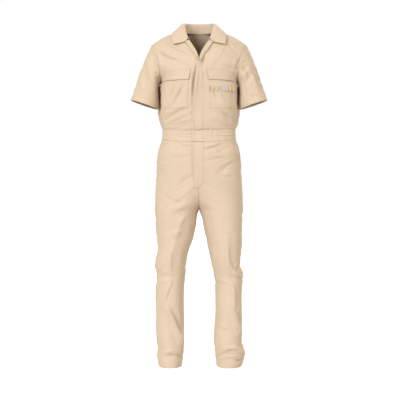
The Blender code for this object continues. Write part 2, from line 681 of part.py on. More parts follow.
def pen_strip(cloth, build):
    """Narrow loops in a strip across the wearer's left pocket, with a small bare label."""
    place, square = cloth.grid("front_left")
    ups = np.array(BODICE_UPS)
    first, last = BODICE_ANGLES.index(9.8), BODICE_ANGLES.index(69)
    columns = np.arange(first, last + 1)
    rows = row_of(ups, np.array((166.0, 176.0, 188.0)))
    build("pen_loops", *laid_on(place, square, rows[:, None], columns[None, :],
                                LAYER + 2 * LAYER_GAP, False))
    label_columns = np.array((first + 1.75, first + 2.0, first + 2.6))
    label_rows = row_of(ups, np.array((168.0, 176.0, 186.0)))
    build("label", *laid_on(place, square, label_rows[:, None], label_columns[None, :],
                            2 * LAYER + 3 * LAYER_GAP, False), LABEL_GREY)


def closing_bands(cloth, build):
    """Placket, the waistband end that laps over it, and the fly, one below another."""
    place, square = both_fronts(cloth, "front")
    middle = place.shape[1] // 2
    ups = np.array(BODICE_UPS, dtype=float)
    top = PLACKET_LEAN[-1][0]
    rows = np.array([STRIP_END] + [k for k, up in enumerate(ups) if 0 < up < top - 8]
                    + [row_of(ups, top)])
    heights = np.interp(rows, np.arange(len(ups)), ups)
    lean = straight(PLACKET_LEAN, heights)
    cell = place[:, middle + 1, 0] / MM
    width = np.interp(rows, np.arange(len(ups)), cell)
    left_edge = middle - 1 + lean / width
    right_edge = np.full(len(rows), middle + 1.0)
    columns = np.stack((left_edge, np.full(len(rows), middle - 1.0),
                        np.full(len(rows), float(middle)), right_edge), axis=1)
    build("placket", *laid_on(place, square, rows[:, None], columns, LAYER_GAP, False, middle))

    place, square = both_fronts(cloth, "waistband")
    middle = place.shape[1] // 2
    rows = np.array((STRIP_END, 1.0, 2.0 - STRIP_END))
    columns = lap_columns(take(place, rows[:, None], np.arange(place.shape[1])[None, :]), middle)
    build("waistband_lap", *laid_on(place, square, rows[:, None], columns, LAYER_GAP, True, middle))

    place, square = both_fronts(cloth, "leg_front")
    middle = place.shape[1] // 2
    rows = np.concatenate(((STRIP_END,), np.arange(1, LEG_LEVELS.index(FLY_END_Z) + 1)))
    columns = np.array((middle - 2, middle - 1, middle, middle + 1), dtype=float)[None, :]
    build("fly", *laid_on(place, square, rows[:, None], columns, LAYER_GAP, True, middle))


def lap_columns(place, middle):
    """Column positions from the lap's free edge to its stitching, a placket half each side."""
    width = place[:, middle + 1, 0] / MM
    reach = PLACKET_HALF / width
    return np.stack((middle - 1 - reach, np.full(len(width), middle - 1.0),
                     np.full(len(width), float(middle)), middle + reach), axis=1)


def lapels(cloth, build):
    """The facing turned out beside the roll line, from the closing up to the gorge."""
    ups = np.array(BODICE_UPS, dtype=float)
    heights = np.array([LAPEL_WIDTH[0][0]] + [up for up in ups if 306 < up < GORGE_UP]
                       + [GORGE_UP - LAPEL_STOP])
    rows = row_of(ups, heights)
    width = straight(LAPEL_WIDTH, heights)
    share = np.array([s for s, _ in LAPEL_LIFT])
    lift = np.array([h for _, h in LAPEL_LIFT]) * MM
    for side in ("left", "right"):
        place, square = cloth.grid("front_" + side)
        line = take(place, rows[:, None], np.arange(place.shape[1])[None, :])
        columns = []
        for k, reach in enumerate(width):
            run = np.linalg.norm(np.diff(line[k], axis=0), axis=1).cumsum() / MM
            columns.append(np.interp(reach * share, np.concatenate(((0,), run)),
                                     np.arange(place.shape[1])))
        height = np.repeat(lift[None, :], len(rows), axis=0)
        height[0] = lift[0] + LAYER if side == "left" else lift[0] + 2 * LAYER
        height[0] = height[0] + LAYER
        build("lapel_" + side, *laid_on(place, square, rows[:, None], np.array(columns), height,
                                        side == "right"))


def collar(cloth, build):
    """Stand up from the neck seam, roll, and leaf down to its edge, right tip round to left."""
    place, square = cloth.grid("front_left")
    first = int(row_of(BODICE_UPS, GORGE_UP))
    back_place, back_square = cloth.grid("back", 0)
    bottom = int(row_of(BODICE_UPS, NAPE_UP))
    neck = np.vstack((place[first:, 0], back_place[bottom:-1, 0][::-1]))
    out = np.vstack((square[first:, 0], back_square[bottom:-1, 0][::-1]))
    run = np.concatenate(((0,), np.linalg.norm(np.diff(neck, axis=0), axis=1).cumsum()))
    share = run / run[-1]
    roll = smooth(COLLAR_ROLL, share) * MM
    edge = smooth(COLLAR_EDGE, share) * MM
    seam = neck + out * LAYER_GAP * 2
    fall = edge - roll
    rise = roll - seam
    upright = np.array((0.0, 0.0, 1.0))
    lean_out = fall / np.linalg.norm(fall, axis=1)[:, None]
    level = np.cross(np.gradient(roll, axis=0), fall)
    level /= np.linalg.norm(level, axis=1)[:, None]
    level *= np.sign(level[:, 2:])
    bow = np.clip(1 - share / 0.15, 0, 1)[:, None]**2 * np.array(LEAF_BOW) * MM
    rows = [seam, seam + 0.55 * rise, roll - 0.06 * rise + lean_out * 1.5 * MM,
            roll + lean_out * 7 * MM + level * 1.5 * MM + 0.35 * bow,
            roll + 0.5 * fall + level * LEAF_CROWN * MM + bow, edge]
    half = np.array(rows)
    whole = np.concatenate((mirror(half), half[:, ::-1][:, 1:]), axis=1)
    build("collar", *own_wall(whole, True, 0.0))


def main():
    for obj in list(bpy.data.objects):
        bpy.data.objects.remove(obj, do_unlink=True)
    collection = bpy.data.collections.new("boiler_suit")
    bpy.context.scene.collection.children.link(collection)

    def build(name, points, faces, colour=TWILL):
        make_object(name, points, faces, colour, collection)

    cloth = weave_surface()
    for node in cloth.grids:
        inside = node.startswith("hip_facing")
        lift = -LAYER - FACING_AIR if inside else 0.0
        build(node, *panel_wall(cloth, node, lift), TWILL_INSIDE if inside else TWILL)
    chest_pockets(cloth, build)
    pen_strip(cloth, build)
    closing_bands(cloth, build)
    lapels(cloth, build)
    collar(cloth, build)


main()
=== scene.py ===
"""Looks of the short-sleeved boiler suit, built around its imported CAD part.

The cloth repeats part.py's form on a finer grid, from its tables with small changes, and adds
creases, seams, turned edges, stitching and the twill itself.  Tables and lengths marked mm are
in millimetres; points are in metres, +Z up, and the suit's front faces -Y.
"""
import bpy
import numpy as np
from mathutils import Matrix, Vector, noise


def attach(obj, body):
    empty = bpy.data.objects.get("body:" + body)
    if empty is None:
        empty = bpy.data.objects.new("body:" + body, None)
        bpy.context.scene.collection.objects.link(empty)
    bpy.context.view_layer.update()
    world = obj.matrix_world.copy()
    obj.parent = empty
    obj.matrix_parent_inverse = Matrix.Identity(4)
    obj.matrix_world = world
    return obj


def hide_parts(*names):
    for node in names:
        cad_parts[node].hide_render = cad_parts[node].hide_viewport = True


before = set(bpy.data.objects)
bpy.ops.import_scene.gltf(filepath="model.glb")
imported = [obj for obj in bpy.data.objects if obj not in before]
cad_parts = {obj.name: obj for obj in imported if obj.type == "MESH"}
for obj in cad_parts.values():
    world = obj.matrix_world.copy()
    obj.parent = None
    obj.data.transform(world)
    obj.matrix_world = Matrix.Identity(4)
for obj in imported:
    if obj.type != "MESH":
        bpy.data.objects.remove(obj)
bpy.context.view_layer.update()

MM = 0.001
FAR = 1e3                       # mm, too far from a seam, hem or pocket mouth to feel it
WELD_GRID = 1e4                 # per metre: panels' points that round to one place are joined
CLOTH = 1.1 * MM                # a panel's thickness
GAP = 0.3                       # air between a panel and what is sewn onto it, in mm
LAYER_GAP = GAP * MM
LAYER = 1.5 * MM + LAYER_GAP    # one sewn layer in the CAD part
RIM_BULGE = 0.4                 # how far the cloth's cut rim bulges, in thicknesses
EDGE_ROUND = 1.4                # a sewn-on piece's edge rounds off over this distance, in mm
EDGE_THIN = 0.25                # and at the very edge keeps this share of its thickness
PUFF_REACH = 22                 # a puffed piece is at its highest this far in, in mm
PAINTED_SHADE_REACH = 2.2                # how far in from an edge or seam the painted shade reaches, in mm

# the cloth grids' spacing in mm: down and across, and the first points in from each end
WARP, WEFT = 4.6, 4.3
PANEL_ENDS = (0, 1.2, 2.6, 4.5, 7, 10.5)
COLLAR_ENDS = (0, 0.6, 1.4, 2.6, 4.5, 7)
STRIP_ENDS = (0, 0.5, 1.2, 2.2, 4, 7)
NEAR = len(PANEL_ENDS)
SHORT_ROW = 60                  # mm; rows shorter than this have their end points closer still

# a fold's cross-section, with distances in fold widths
BOLD, NARROW = 1.5, 0.8         # every fold's height and width, against those in its table
CREST = 0.12                    # how round the crest is
LEAN = 0.3                      # how much steeper one flank is than the other
ROUND_SHARE = 0.4               # how much of the section is a round bell; the rest is a peak
PEAK_FALL = 1.7                 # how fast the peak falls away
DIP_DEEP, DIP_AWAY, DIP_WIDE = 0.22, 2.1, 0.8   # the dip on both its sides
FOLD_REACH = 3.2                # how far a fold is felt
FOLD_TIP = 0.25                 # its height at its ends, against its middle

# how strongly a wall takes the folds of a view, by how squarely it faces that view
FOLD_FADE = 0.35                # front and back: fully from this on
SIDE_GAIN, SIDE_LOSS = 1.6, 0.6     # sides: the gain times this, less the loss
OUTER_CALM = 0.55               # how much of a side's creases show on its outer side
INNER_CALM = 0.35               # the same for the inner sides of the legs

# unevenness: height and size in mm, seed, and stretch across, front to back, and down
BROAD_RUMPLE = (1.5, 95, 3.1, (1, 1, 1.6))
MIDDLE_RUMPLE = (0.7, 38, 7.7, (1, 1, 1.4))
FINE_RUMPLE = (0.22, 13, 1.9, (1, 1, 1))
SEAM_PUCKER = (0.9, 9, 5.3, (1, 1, 1))
BAND_WRINKLE = (1.2, 5.5, 4.4, (11, 11, 1))
BAND_RUMPLE = (0.5, 9, 8.4, (1, 1, 3))
COLLAR_RUMPLE = (0.8, 45, 9.2, (1, 1, 1))
CALM_REACH, CALM_LEAST = 25, 0.25   # near seams and hems the larger ones shrink to this share

# seams and hems, in mm
PUCKER_REACH = 9
SEAM_GROOVE, BAND_GROOVE, SEAM_GROOVE_WIDE = 0.7, 0.1, 1.7
SEAM_PAD, PAD_EDGE = 0.45, (9.5, 7.0)   # turnings lift the cloth beside a seam up to this edge
HEM_TURN = (24, 21)             # where the turned cloth ends
HEM_LINE = 20                   # where it is stitched
HEM_THICK, HEM_LIFT = 1.2, 0.5  # what it adds behind the cloth and in front
HEM_GROOVE, HEM_GROOVE_WIDE = 0.4, 1.6

# stitches, in mm
STITCH_PITCH, STITCH_LENGTH, STITCH_RADIUS = 3.8, 3.0, 0.38
STITCH_PROUD = 0.15             # how far one stands up, in radii
STITCH_RINGS = ((-0.5, 0.35), (-0.3, 1.0), (0.3, 1.0), (0.5, 0.35))     # along it, and radius
STITCH_TURNS = (0.25, 0.75, 1.25, 1.75)     # a ring's corners, in half turns
DOUBLE_ROW, SINGLE_ROW = (1.9, 7.6), (2.2,)

# ------------------------------------------------------------------ bodice tables (mm)
ARMPIT_UP = 215
ARM_UPS = (215, 240, 267, 288, 310, 334, 358, 380, 400, 418, 434, 446, 455)
#    up    x    y     z
SIDE_SEAM = (
    (0, 163, 3, -437),
    (14, 166, 3, -424),
    (40, 170, 3, -398),
    (110, 172, 1, -329),
    (170, 171, 0, -270),
    (215, 170, 0, -226))
FRONT_ARMHOLE = (
    (215, 170, 0, -226),
    (240, 170, -34, -211),
    (267, 174, -60, -190),
    (300, 178, -72, -162),
    (340, 183, -70, -130),
    (380, 190, -60, -102),
    (415, 198, -42, -79),
    (440, 206, -18, -63),
    (455, 213, 0, -56))
BACK_ARMHOLE = (
    (215, 170, 0, -226),
    (240, 168, 34, -209),
    (267, 169, 60, -184),
    (300, 172, 72, -152),
    (340, 178, 72, -118),
    (380, 187, 62, -91),
    (415, 197, 42, -71),
    (440, 206, 18, -60),
    (455, 213, 0, -56))
FRONT_EDGE = (
    (0, 0, -113, -444),
    (14, 0, -119, -430),
    (40, 0, -124, -403),
    (110, 0, -129, -333),
    (170, 0, -130, -270),
    (215, 0, -130, -222),
    (267, 0, -128, -168),
    (300, 0, -125, -140),
    (318, 2, -122, -124),
    (345, 12, -115, -96),
    (375, 28, -104, -68),
    (400, 44, -89, -44),
    (420, 54, -70, -25),
    (440, 62, -38, -7),
    (455, 66, -4, 2))
BACK_EDGE = (
    (0, 0, 92, -441),
    (14, 0, 103, -428),
    (40, 0, 110, -400),
    (110, 0, 113, -330),
    (170, 0, 118, -270),
    (215, 0, 121, -222),
    (267, 0, 122, -168),
    (320, 0, 112, -112),
    (360, 0, 97, -68),
    (380, 0, 85, -33),
    (400, 0, 74, 4),
    (418, 30, 65, 5),
    (434, 52, 42, 4),
    (446, 62, 18, 3),
    (455, 66, -4, 2))
#    up  turn squareness crown
FRONT_TURN = (
    (0, 90, 2.5, 0),
    (200, 90, 2.7, 0),
    (240, 74, 2.6, 0),
    (290, 56, 2.4, 0),
    (340, 44, 2.2, 2),
    (400, 34, 2.1, 8),
    (455, 28, 2.0, 15))
BACK_TURN = (
    (0, 90, 2.4, 0),
    (200, 90, 2.5, 0),
    (240, 74, 2.4, 0),
    (290, 56, 2.3, 0),
    (340, 44, 2.2, 2),
    (400, 34, 2.1, 8),
    (455, 28, 2.0, 15))
#    up  sideways swell of the back behind the side seams
BACK_BLOUSE = ((0, 2), (20, 14), (60, 23), (120, 24), (165, 26), (190, 25), (204, 18),
               (215, 0), (240, 0), (455, 0))
BLOUSE_FACTOR = 1.5
NO_BLOUSE = ((0, 0), (455, 0))

# ------------------------------------------------------------------ sleeve (mm)
SLEEVE_HEM_CENTRE = (246, 0, -323)
SLEEVE_HEM_HALF = (65, 71)          # across, front to back
SLEEVE_HEM_OUT = (0.947, 0.0, 0.320)
SLEEVE_AXIS = (0.320, 0.0, -0.947)
SLEEVE_HEAD_DIR = (0.50, 0.0, -0.87)
SLEEVE_UNDER_DIR = (0.66, 0.0, -0.75)
SLEEVE_LONG = 200               # its length, by which its rows are spaced
SHOULDER_EVEN = 0.07            # the share of a ring over which its shoulder is evened out

# ------------------------------------------------------------------ trousers (mm)
#    z   outer inner front back seam_y square
HIPS = (
    (-482, 166, -166, -117, 97, 3, 2.5),
    (-505, 175, -175, -121, 106, 4, 2.5),
    (-540, 184, -184, -124, 120, 6, 2.5),
    (-585, 188, -172, -124, 132, 8, 2.4),
    (-640, 191, -140, -120, 138, 10, 2.3),
    (-690, 194, -98, -115, 136, 12, 2.2),
    (-735, 196, -58, -111, 130, 12, 2.1),
    (-770, 197, -25, -108, 122, 12, 2.1))
RIGHT_LEG = HIPS + (
    (-794, 198, 0, -106, 115, 12, 2.1),
    (-820, 197, 8, -105, 107, 10, 2.1),
    (-880, 194, 17, -103, 100, 8, 2.1),
    (-940, 188, 32, -100, 94, 6, 2.1),
    (-965, 185, 42, -98, 91, 5, 2.1),
    (-1010, 193, 54, -95, 87, 3, 2.2),
    (-1050, 198, 59, -92, 84, 2, 2.2),
    (-1093, 189, 62, -88, 83, 0, 2.2),
    (-1130, 193, 66, -87, 84, 0, 2.2),
    (-1280, 193, 67, -86, 84, 0, 2.2),
    (-1340, 193, 67, -84, 82, 0, 2.2),
    (-1390, 189, 67, -82, 80, 0, 2.2),
    (-1420, 185, 69, -81, 78, 0, 2.2),
    (-1445, 188, 71, -82, 77, 0, 2.2),
    (-1470, 186, 74, -84, 76, 0, 2.2),
    (-1496, 180, 78, -82, 74, 0, 2.2))
LEFT_LEG = HIPS + (
    (-794, 198, 0, -106, 115, 12, 2.1),
    (-820, 197, 10, -105, 107, 10, 2.1),
    (-880, 194, 23, -103, 100, 8, 2.1),
    (-940, 194, 36, -100, 94, 6, 2.1),
    (-985, 190, 45, -97, 89, 4, 2.1),
    (-1040, 185, 58, -93, 84, 2, 2.2),
    (-1085, 197, 67, -89, 83, 0, 2.2),
    (-1110, 197, 72, -87, 84, 0, 2.2),
    (-1150, 193, 73, -86, 84, 0, 2.2),
    (-1280, 193, 72, -86, 84, 0, 2.2),
    (-1340, 193, 68, -84, 82, 0, 2.2),
    (-1390, 193, 67, -82, 80, 0, 2.2),
    (-1418, 201, 71, -84, 78, 0, 2.2),
    (-1440, 207, 73, -88, 78, 0, 2.2),
    (-1470, 200, 76, -86, 76, 0, 2.2),
    (-1496, 190, 80, -82, 74, 0, 2.2))
WAIST_Z = -482
HEM_Z = -1496
WAIST_FRONT_DIP = 14
DIP_REACH = 60
HEM_BACK_DROP, HEM_DROP_FROM = 4, -1400
BAND_DEEP = 38                  # the waistband, between its seams
LEG_SHARES = np.linspace(0, 1, 300)[None, :]
POCKET_SLANT = ((482, 0.55), (496, 0.60), (516, 0.68), (540, 0.76), (566, 0.85),
                (592, 0.94), (618, 1.0))
FACING_DROP = 5.0               # how far it lies behind the front
MOUTH_GAPE, MOUTH_REACH = 3.0, 12   # how far the pocket's slanted edge stands off
MOUTH_HELD = 30                 # its sewn ends gape as little as cloth this far from it
POCKET_DEEP = 150
FACING_TUCK = 0.02
FLY_END_Z = -700
PLACKET_HALF = 22
PLACKET_LEAN = ((0, -22), (92, -21), (155, -17), (215, -13), (267, -8), (303, -4))
PLACKET_ANGLE = 4
# where things lie on a front: angle round from the centre, and up from the waist seam
POCKET_ANGLES = (9.8, 69)
POCKET_UPS = (92, 240)
FLAP_UPS = (215, 267)
LOOP_UPS = (166, 188)
# their sizes along the cloth, by which their points are spaced
POCKET_WIDE, POCKET_HIGH, FLAP_HIGH, LOOP_HIGH = 122, 145, 52, 23
LABEL_WIDE, LABEL_HIGH, LAPEL_HIGH = 17, 18, 110

# ------------------------------------------------------------------ collar (mm)
COLLAR_ROLL = (
    (0.00, 50, -91, -34),
    (0.15, 58, -72, -8),
    (0.32, 64, -42, 24),
    (0.50, 65, -4, 43),
    (0.68, 59, 34, 50),
    (0.84, 36, 60, 53),
    (1.00, 0, 69, 54))
COLLAR_EDGE = (
    (0.00, 115, -100, -65),
    (0.15, 121, -74, -35),
    (0.32, 116, -38, -7),
    (0.50, 98, 6, 9),
    (0.68, 77, 48, 4),
    (0.84, 48, 84, -8),
    (1.00, 0, 93, -14))
LEAF_CROWN = 3
LEAF_BOW = (-18, -2, -6)        # how the leaf's front edge bows down towards the lapel
LEAF_BOW_SHARE = 0.15           # over this share of the collar from its tip
LEAF_BEGIN = 0.55               # the leaf's share of the collar's depth begins here
COLLAR_ROW = 5.5                # its stitching, from the edge
GORGE_UP = 400
NAPE_UP = 400
LAPEL_WIDTH = ((303, 2), (316, 8), (330, 14), (360, 20), (385, 22), (400, 22))
LAPEL_STOP = 5
COLLAR_THICK = 2.2 * MM
PLACKET_STAND = 8.5             # how far the placket's free edge stands off at the chest
STAND_UP, STAND_WIDE = 190, 62  # where that is, and over what height
FLAP_HANG, FLAP_KICK = 3.6, 1.6     # how far a flap's edge stands off, evenly and near its edge
LAPEL_LIFT = 4.1                # how far the lapel's outer edge stands off
FLY_BEND = 46                   # the fly's stitching turns inward over this height
FLY_TIP = 7                     # the fly's width at its foot
PEN_LOOPS = ((40, 49), (58, 68), (77, 86), (117, 125), (131, 139), (145, 153))
LOOP_BASE, LOOP_RISE = 1.4, 6.5
LABEL_LIFT = 4.6
LABEL_UPS = (168, 186)
LABEL_X = (99, 116)

# ------------------------------------------------------------------ colours and studio
KHAKI = (0.62, 0.487, 0.353, 1.0)
# the twill's painted shade colour, used beside seams, hems and edges and between the pen loops
KHAKI_PAINTED_SHADE = (0.56, 0.43, 0.305, 1.0)
INSIDE = (0.50, 0.38, 0.27, 1.0)
THREAD = (0.64, 0.51, 0.38, 1.0)
LABEL_GREY = (0.50, 0.51, 0.52, 1.0)
PAPER = (0.93, 0.93, 0.93, 1.0)
WHITE = (1.0, 1.0, 1.0, 1.0)
TWILL_SHINE = (("Roughness", 0.88), ("Sheen Weight", 0.15), ("Sheen Roughness", 0.5),
               ("Specular IOR Level", 0.25))
CAMERA_PLACE = (0.0045, -4.8, -0.7515)
CAMERA_SENSOR, CAMERA_LENS = 36.0, 96.0     # mm
FLOOR_Z = -1.584
FLOOR_WIDE = 60.0
FLOOR_GLOW = 0.3
AIR_LOW, AIR_HIGH = 0.71, 0.79  # how strongly the surroundings light the suit, below and above
AIR_TINT = (1.0, 0.91, 0.78, 1.0)
SUN_TINT = (0.92, 1.0, 1.13)
SUN_SOFTNESS = 22               # degrees across
#       name    shines along         power
SUNS = (("key", (0.60, 0.98, -0.38), 2.08),
        ("fill", (-0.9, 0.8, -0.25), 0.6),
        ("back", (-0.35, -0.9, -0.5), 1.0))

# ------------------------------------------------------------------ folds (mm)
# path points in the front view, width across, rise (minus is a furrow)
#                 x1    z1    x2    z2    x3    z3   width rise
FRONT_FOLDS = (
    (-180, -93, -135, -130, -60, -162, 16, -6),
    (-140, -53, -105, -100, -57, -128, 14, -3),
    (62, -62, 26, -118, 12, -160, 14, -6),
    (119, -163, 145, -172, 170, -184, 12, -5),
    (-105, -251, -120, -280, -136, -312, 14, -4),
    (-66, -246, -85, -290, -105, -330, 13, -3),
    (-83, -251, -100, -292, -118, -334, 11, 4),
    (-57, -363, -105, -380, -145, -405, 12, -5),
    (-26, -418, -60, -424, -92, -431, 12, -3),
    (66, -282, 77, -300, 88, -321, 13, -4),
    (97, -277, 115, -300, 132, -330, 13, -4),
    (136, -290, 146, -320, 154, -356, 12, -3),
    (101, -365, 125, -385, 145, -413, 13, -5),
    (75, -400, 105, -420, 136, -438, 13, -4),
    (-101, -506, -75, -519, -26, -523, 12, -4),
    (26, -532, 70, -521, 101, -508, 12, -4),
    (100, -509, 101, -532, 132, -505, 12, -5),
    (84, -629, 119, -611, 158, -585, 14, -4),
    (110, -640, 132, -611, 149, -598, 11, 2),
    (-127, -567, -80, -564, -31, -558, 14, -1.5),
    (26, -576, 65, -574, 101, -567, 14, -2),
    (-92, -694, -60, -665, -31, -646, 16, -4),
    (-115, -796, -90, -783, -62, -769, 16, 6),
    (-119, -902, -99, -895, -79, -888, 15, 5),
    (-44, -804, -79, -849, -101, -928, 22, 3),
    (-101, -928, -124, -1008, -119, -1061, 20, 4.5),
    (-172, -1100, -150, -1087, -128, -1092, 12, -2.5),
    (-185, -1115, -155, -1108, -125, -1104, 12, 2),
    (-154, -1202, -124, -1250, -97, -1317, 16, 5),
    (-97, -1317, -80, -1360, -66, -1414, 15, 6),
    (-137, -1206, -97, -1273, -79, -1348, 14, -2.5),
    (-178, -1445, -137, -1420, -97, -1437, 8, 4),
    (-150, -1454, -119, -1440, -71, -1455, 8, -3),
    (124, -906, 124, -1008, 133, -1070, 20, 5),
    (150, -1115, 152, -1190, 150, -1259, 20, 2.8),
    (133, -1025, 159, -1069, 186, -1094, 12, 3.5),
    (181, -1003, 170, -1020, 157, -1039, 12, 2),
    (128, -1090, 155, -1094, 181, -1104, 12, -2.5),
    (71, -1096, 105, -1103, 137, -1109, 12, 2),
    (83, -1436, 150, -1402, 203, -1434, 8, 4.5),
    (93, -1446, 150, -1420, 200, -1445, 8, -5.5),
    (159, -1458, 180, -1464, 203, -1456, 8, -5),
    (88, -1330, 110, -1334, 137, -1339, 13, -4),
    (155, -1264, 177, -1326, 186, -1370, 14, 6))
BACK_FOLDS = (
    (-185, -150, -165, -200, -150, -260, 15, -6),
    (185, -150, 166, -200, 148, -265, 15, -6),
    (-160, -395, -100, -412, -30, -405, 16, 8),
    (30, -398, 105, -408, 160, -390, 16, 8),
    (-165, -420, -90, -432, -20, -428, 12, -5),
    (20, -430, 100, -430, 165, -420, 12, -5),
    (-150, -540, -90, -560, -30, -552, 16, -4),
    (30, -556, 95, -566, 150, -545, 16, -4),
    (-150, -790, -100, -812, -45, -806, 16, -7),
    (45, -808, 105, -818, 155, -795, 16, -7),
    (-170, -845, -120, -860, -60, -850, 15, -5),
    (60, -856, 115, -868, 172, -850, 15, -5),
    (-180, -1060, -125, -1080, -75, -1068, 15, -6),
    (75, -1070, 130, -1085, 185, -1066, 15, -6),
    (-178, -1120, -130, -1138, -80, -1126, 14, -6),
    (80, -1130, 135, -1146, 182, -1128, 14, -6),
    (-175, -1400, -130, -1420, -85, -1408, 14, 7),
    (85, -1405, 140, -1424, 190, -1410, 14, 7),
    (-178, -1440, -130, -1452, -85, -1444, 13, -6),
    (85, -1442, 140, -1456, 195, -1446, 13, -6))
SLEEVE_FOLDS = (
    (-244, -140, -235, -197, -218, -262, 13, -6),
    (-213, -80, -203, -125, -190, -172, 13, -5),
    (217, -157, 202, -172, 190, -190, 12, -5),
    (235, -184, 222, -212, 206, -240, 13, -6),
    (262, -184, 274, -225, 286, -266, 14, -5),
    (225, -290, 242, -296, 258, -304, 12, -3))
# finer creases, which the CAD part leaves out; paths here are in the photo's points, right and
# down from its corner, with width and rise in mm
PHOTO_MIDDLE, PHOTO_TOP, PHOTO_POINT = 199, 33, 4.5
CHEST_CREASES = (
    (156, 51, 170, 61, 184, 65, 7, -2.6),
    (167, 41, 174, 51, 187, 58, 8, -3.0),
    (172, 46, 183, 53, 197, 60, 7, 2.2),
    (163, 55, 172, 63, 181, 66, 6, 1.8),
    (176, 84, 173, 95, 168, 107, 7, -2.4),
    (181, 84, 178, 96, 171, 107, 7, 2.2),
    (186, 83, 181, 94, 174, 104, 6, -2.2),
    (164, 85, 165, 96, 168, 106, 6, -2.0),
    (187, 111, 176, 115, 166, 122, 6, -2.8),
    (192, 113, 179, 118, 166, 125, 7, 2.4),
    (193, 118, 180, 122, 167, 127, 6, -2.4),
    (191, 123, 179, 126, 165, 127, 5, -1.8),
    (161, 111, 164, 116, 166, 122, 5, -2.4),
    (226, 43, 233, 51, 239, 57, 8, -2.6),
    (217, 51, 227, 57, 237, 62, 8, 2.4),
    (223, 48, 219, 54, 216, 60, 7, -1.8),
    (227, 66, 232, 68, 238, 71, 6, -2.4),
    (230, 72, 234, 73, 239, 75, 5, 1.8),
    (212, 91, 216, 98, 220, 104, 6, -2.4),
    (218, 91, 221, 98, 225, 106, 6, 1.8),
    (224, 92, 228, 99, 232, 107, 6, -2.2),
    (231, 93, 233, 101, 235, 109, 5, -2.2),
    (212, 113, 222, 119, 234, 129, 6, -2.4),
    (216, 111, 226, 117, 236, 123, 6, -2.2),
    (209, 118, 219, 124, 229, 129, 6, 1.8),
    (236, 112, 234, 118, 235, 126, 5, -2.4),
    (197, 68, 194.5, 86, 193, 108, 5.5, -8.0),
    (193, 66, 191, 80, 190, 96, 6, 1.8),
    (204, 74, 203, 92, 203, 110, 5, -2.2),
    (203, 108, 203, 118, 204, 129, 5, -2.0),
    (205, 50, 203, 62, 202, 74, 7, -3.0),
    (208, 55, 206, 66, 205, 78, 6, 1.6),
    (219, 46, 211, 56, 205, 69, 14, -3.5),
    (225, 48, 218, 58, 210, 72, 12, 1.6),
    (193, 104, 193, 116, 193, 130, 5, -3.2),
    (240, 60, 238, 66, 237, 73, 4, -4.0),
    (236, 60, 234, 67, 234, 74, 5, 2.0))
HIP_CREASES = (
    (176, 142, 183, 146, 193, 148, 6, -2.8),
    (174, 145, 182, 149, 192, 151, 7, 2.2),
    (170, 158, 181, 159, 192, 156, 6, -0.7),
    (159, 164, 163, 167, 167, 166, 4, -2.4),
    (158, 167, 162, 169, 166, 169, 4, 2.0),
    (189, 171, 182, 180, 176, 185, 7, -1.2),
    (194, 180, 186, 187, 172, 194, 6, -1.4),
    (194, 186, 187, 193, 177, 199, 7, 1.0),
    (187, 205, 180, 209, 172, 213, 5, 2.0),
    (184, 200, 176, 204, 168, 206, 7, -1.6),
    (163, 192, 172, 200, 182, 203, 9, -1.6),
    (205, 150, 214, 148, 222, 145, 6, -2.6),
    (206, 154, 214, 152, 222, 149, 6, 2.0),
    (224, 144, 223, 147, 222, 151, 4, -3.0),
    (222, 151, 225, 148, 229, 145, 4, 2.2),
    (204, 163, 212, 161, 221, 158, 5, -1.2),
    (218, 170, 224, 166, 231, 163, 4, -2.2),
    (220, 173, 227, 170, 235, 169, 4, -1.6),
    (226, 170, 229, 168, 232, 166, 3.5, 0.8),
    (217, 174, 223, 177, 232, 177, 6, -2.0),
    (203, 181, 210, 187, 220, 190, 6, -1.2),
    (204, 196, 214, 203, 228, 206, 6, -1.2),
    (221, 231, 225, 233, 229, 234, 7, -1.6),
    (206, 205, 210, 220, 213, 234, 9, -1.6),
    (196, 198, 196, 203, 198, 208, 6, -1.5),
    (193, 141, 193, 160, 194, 184, 5, -3.4))
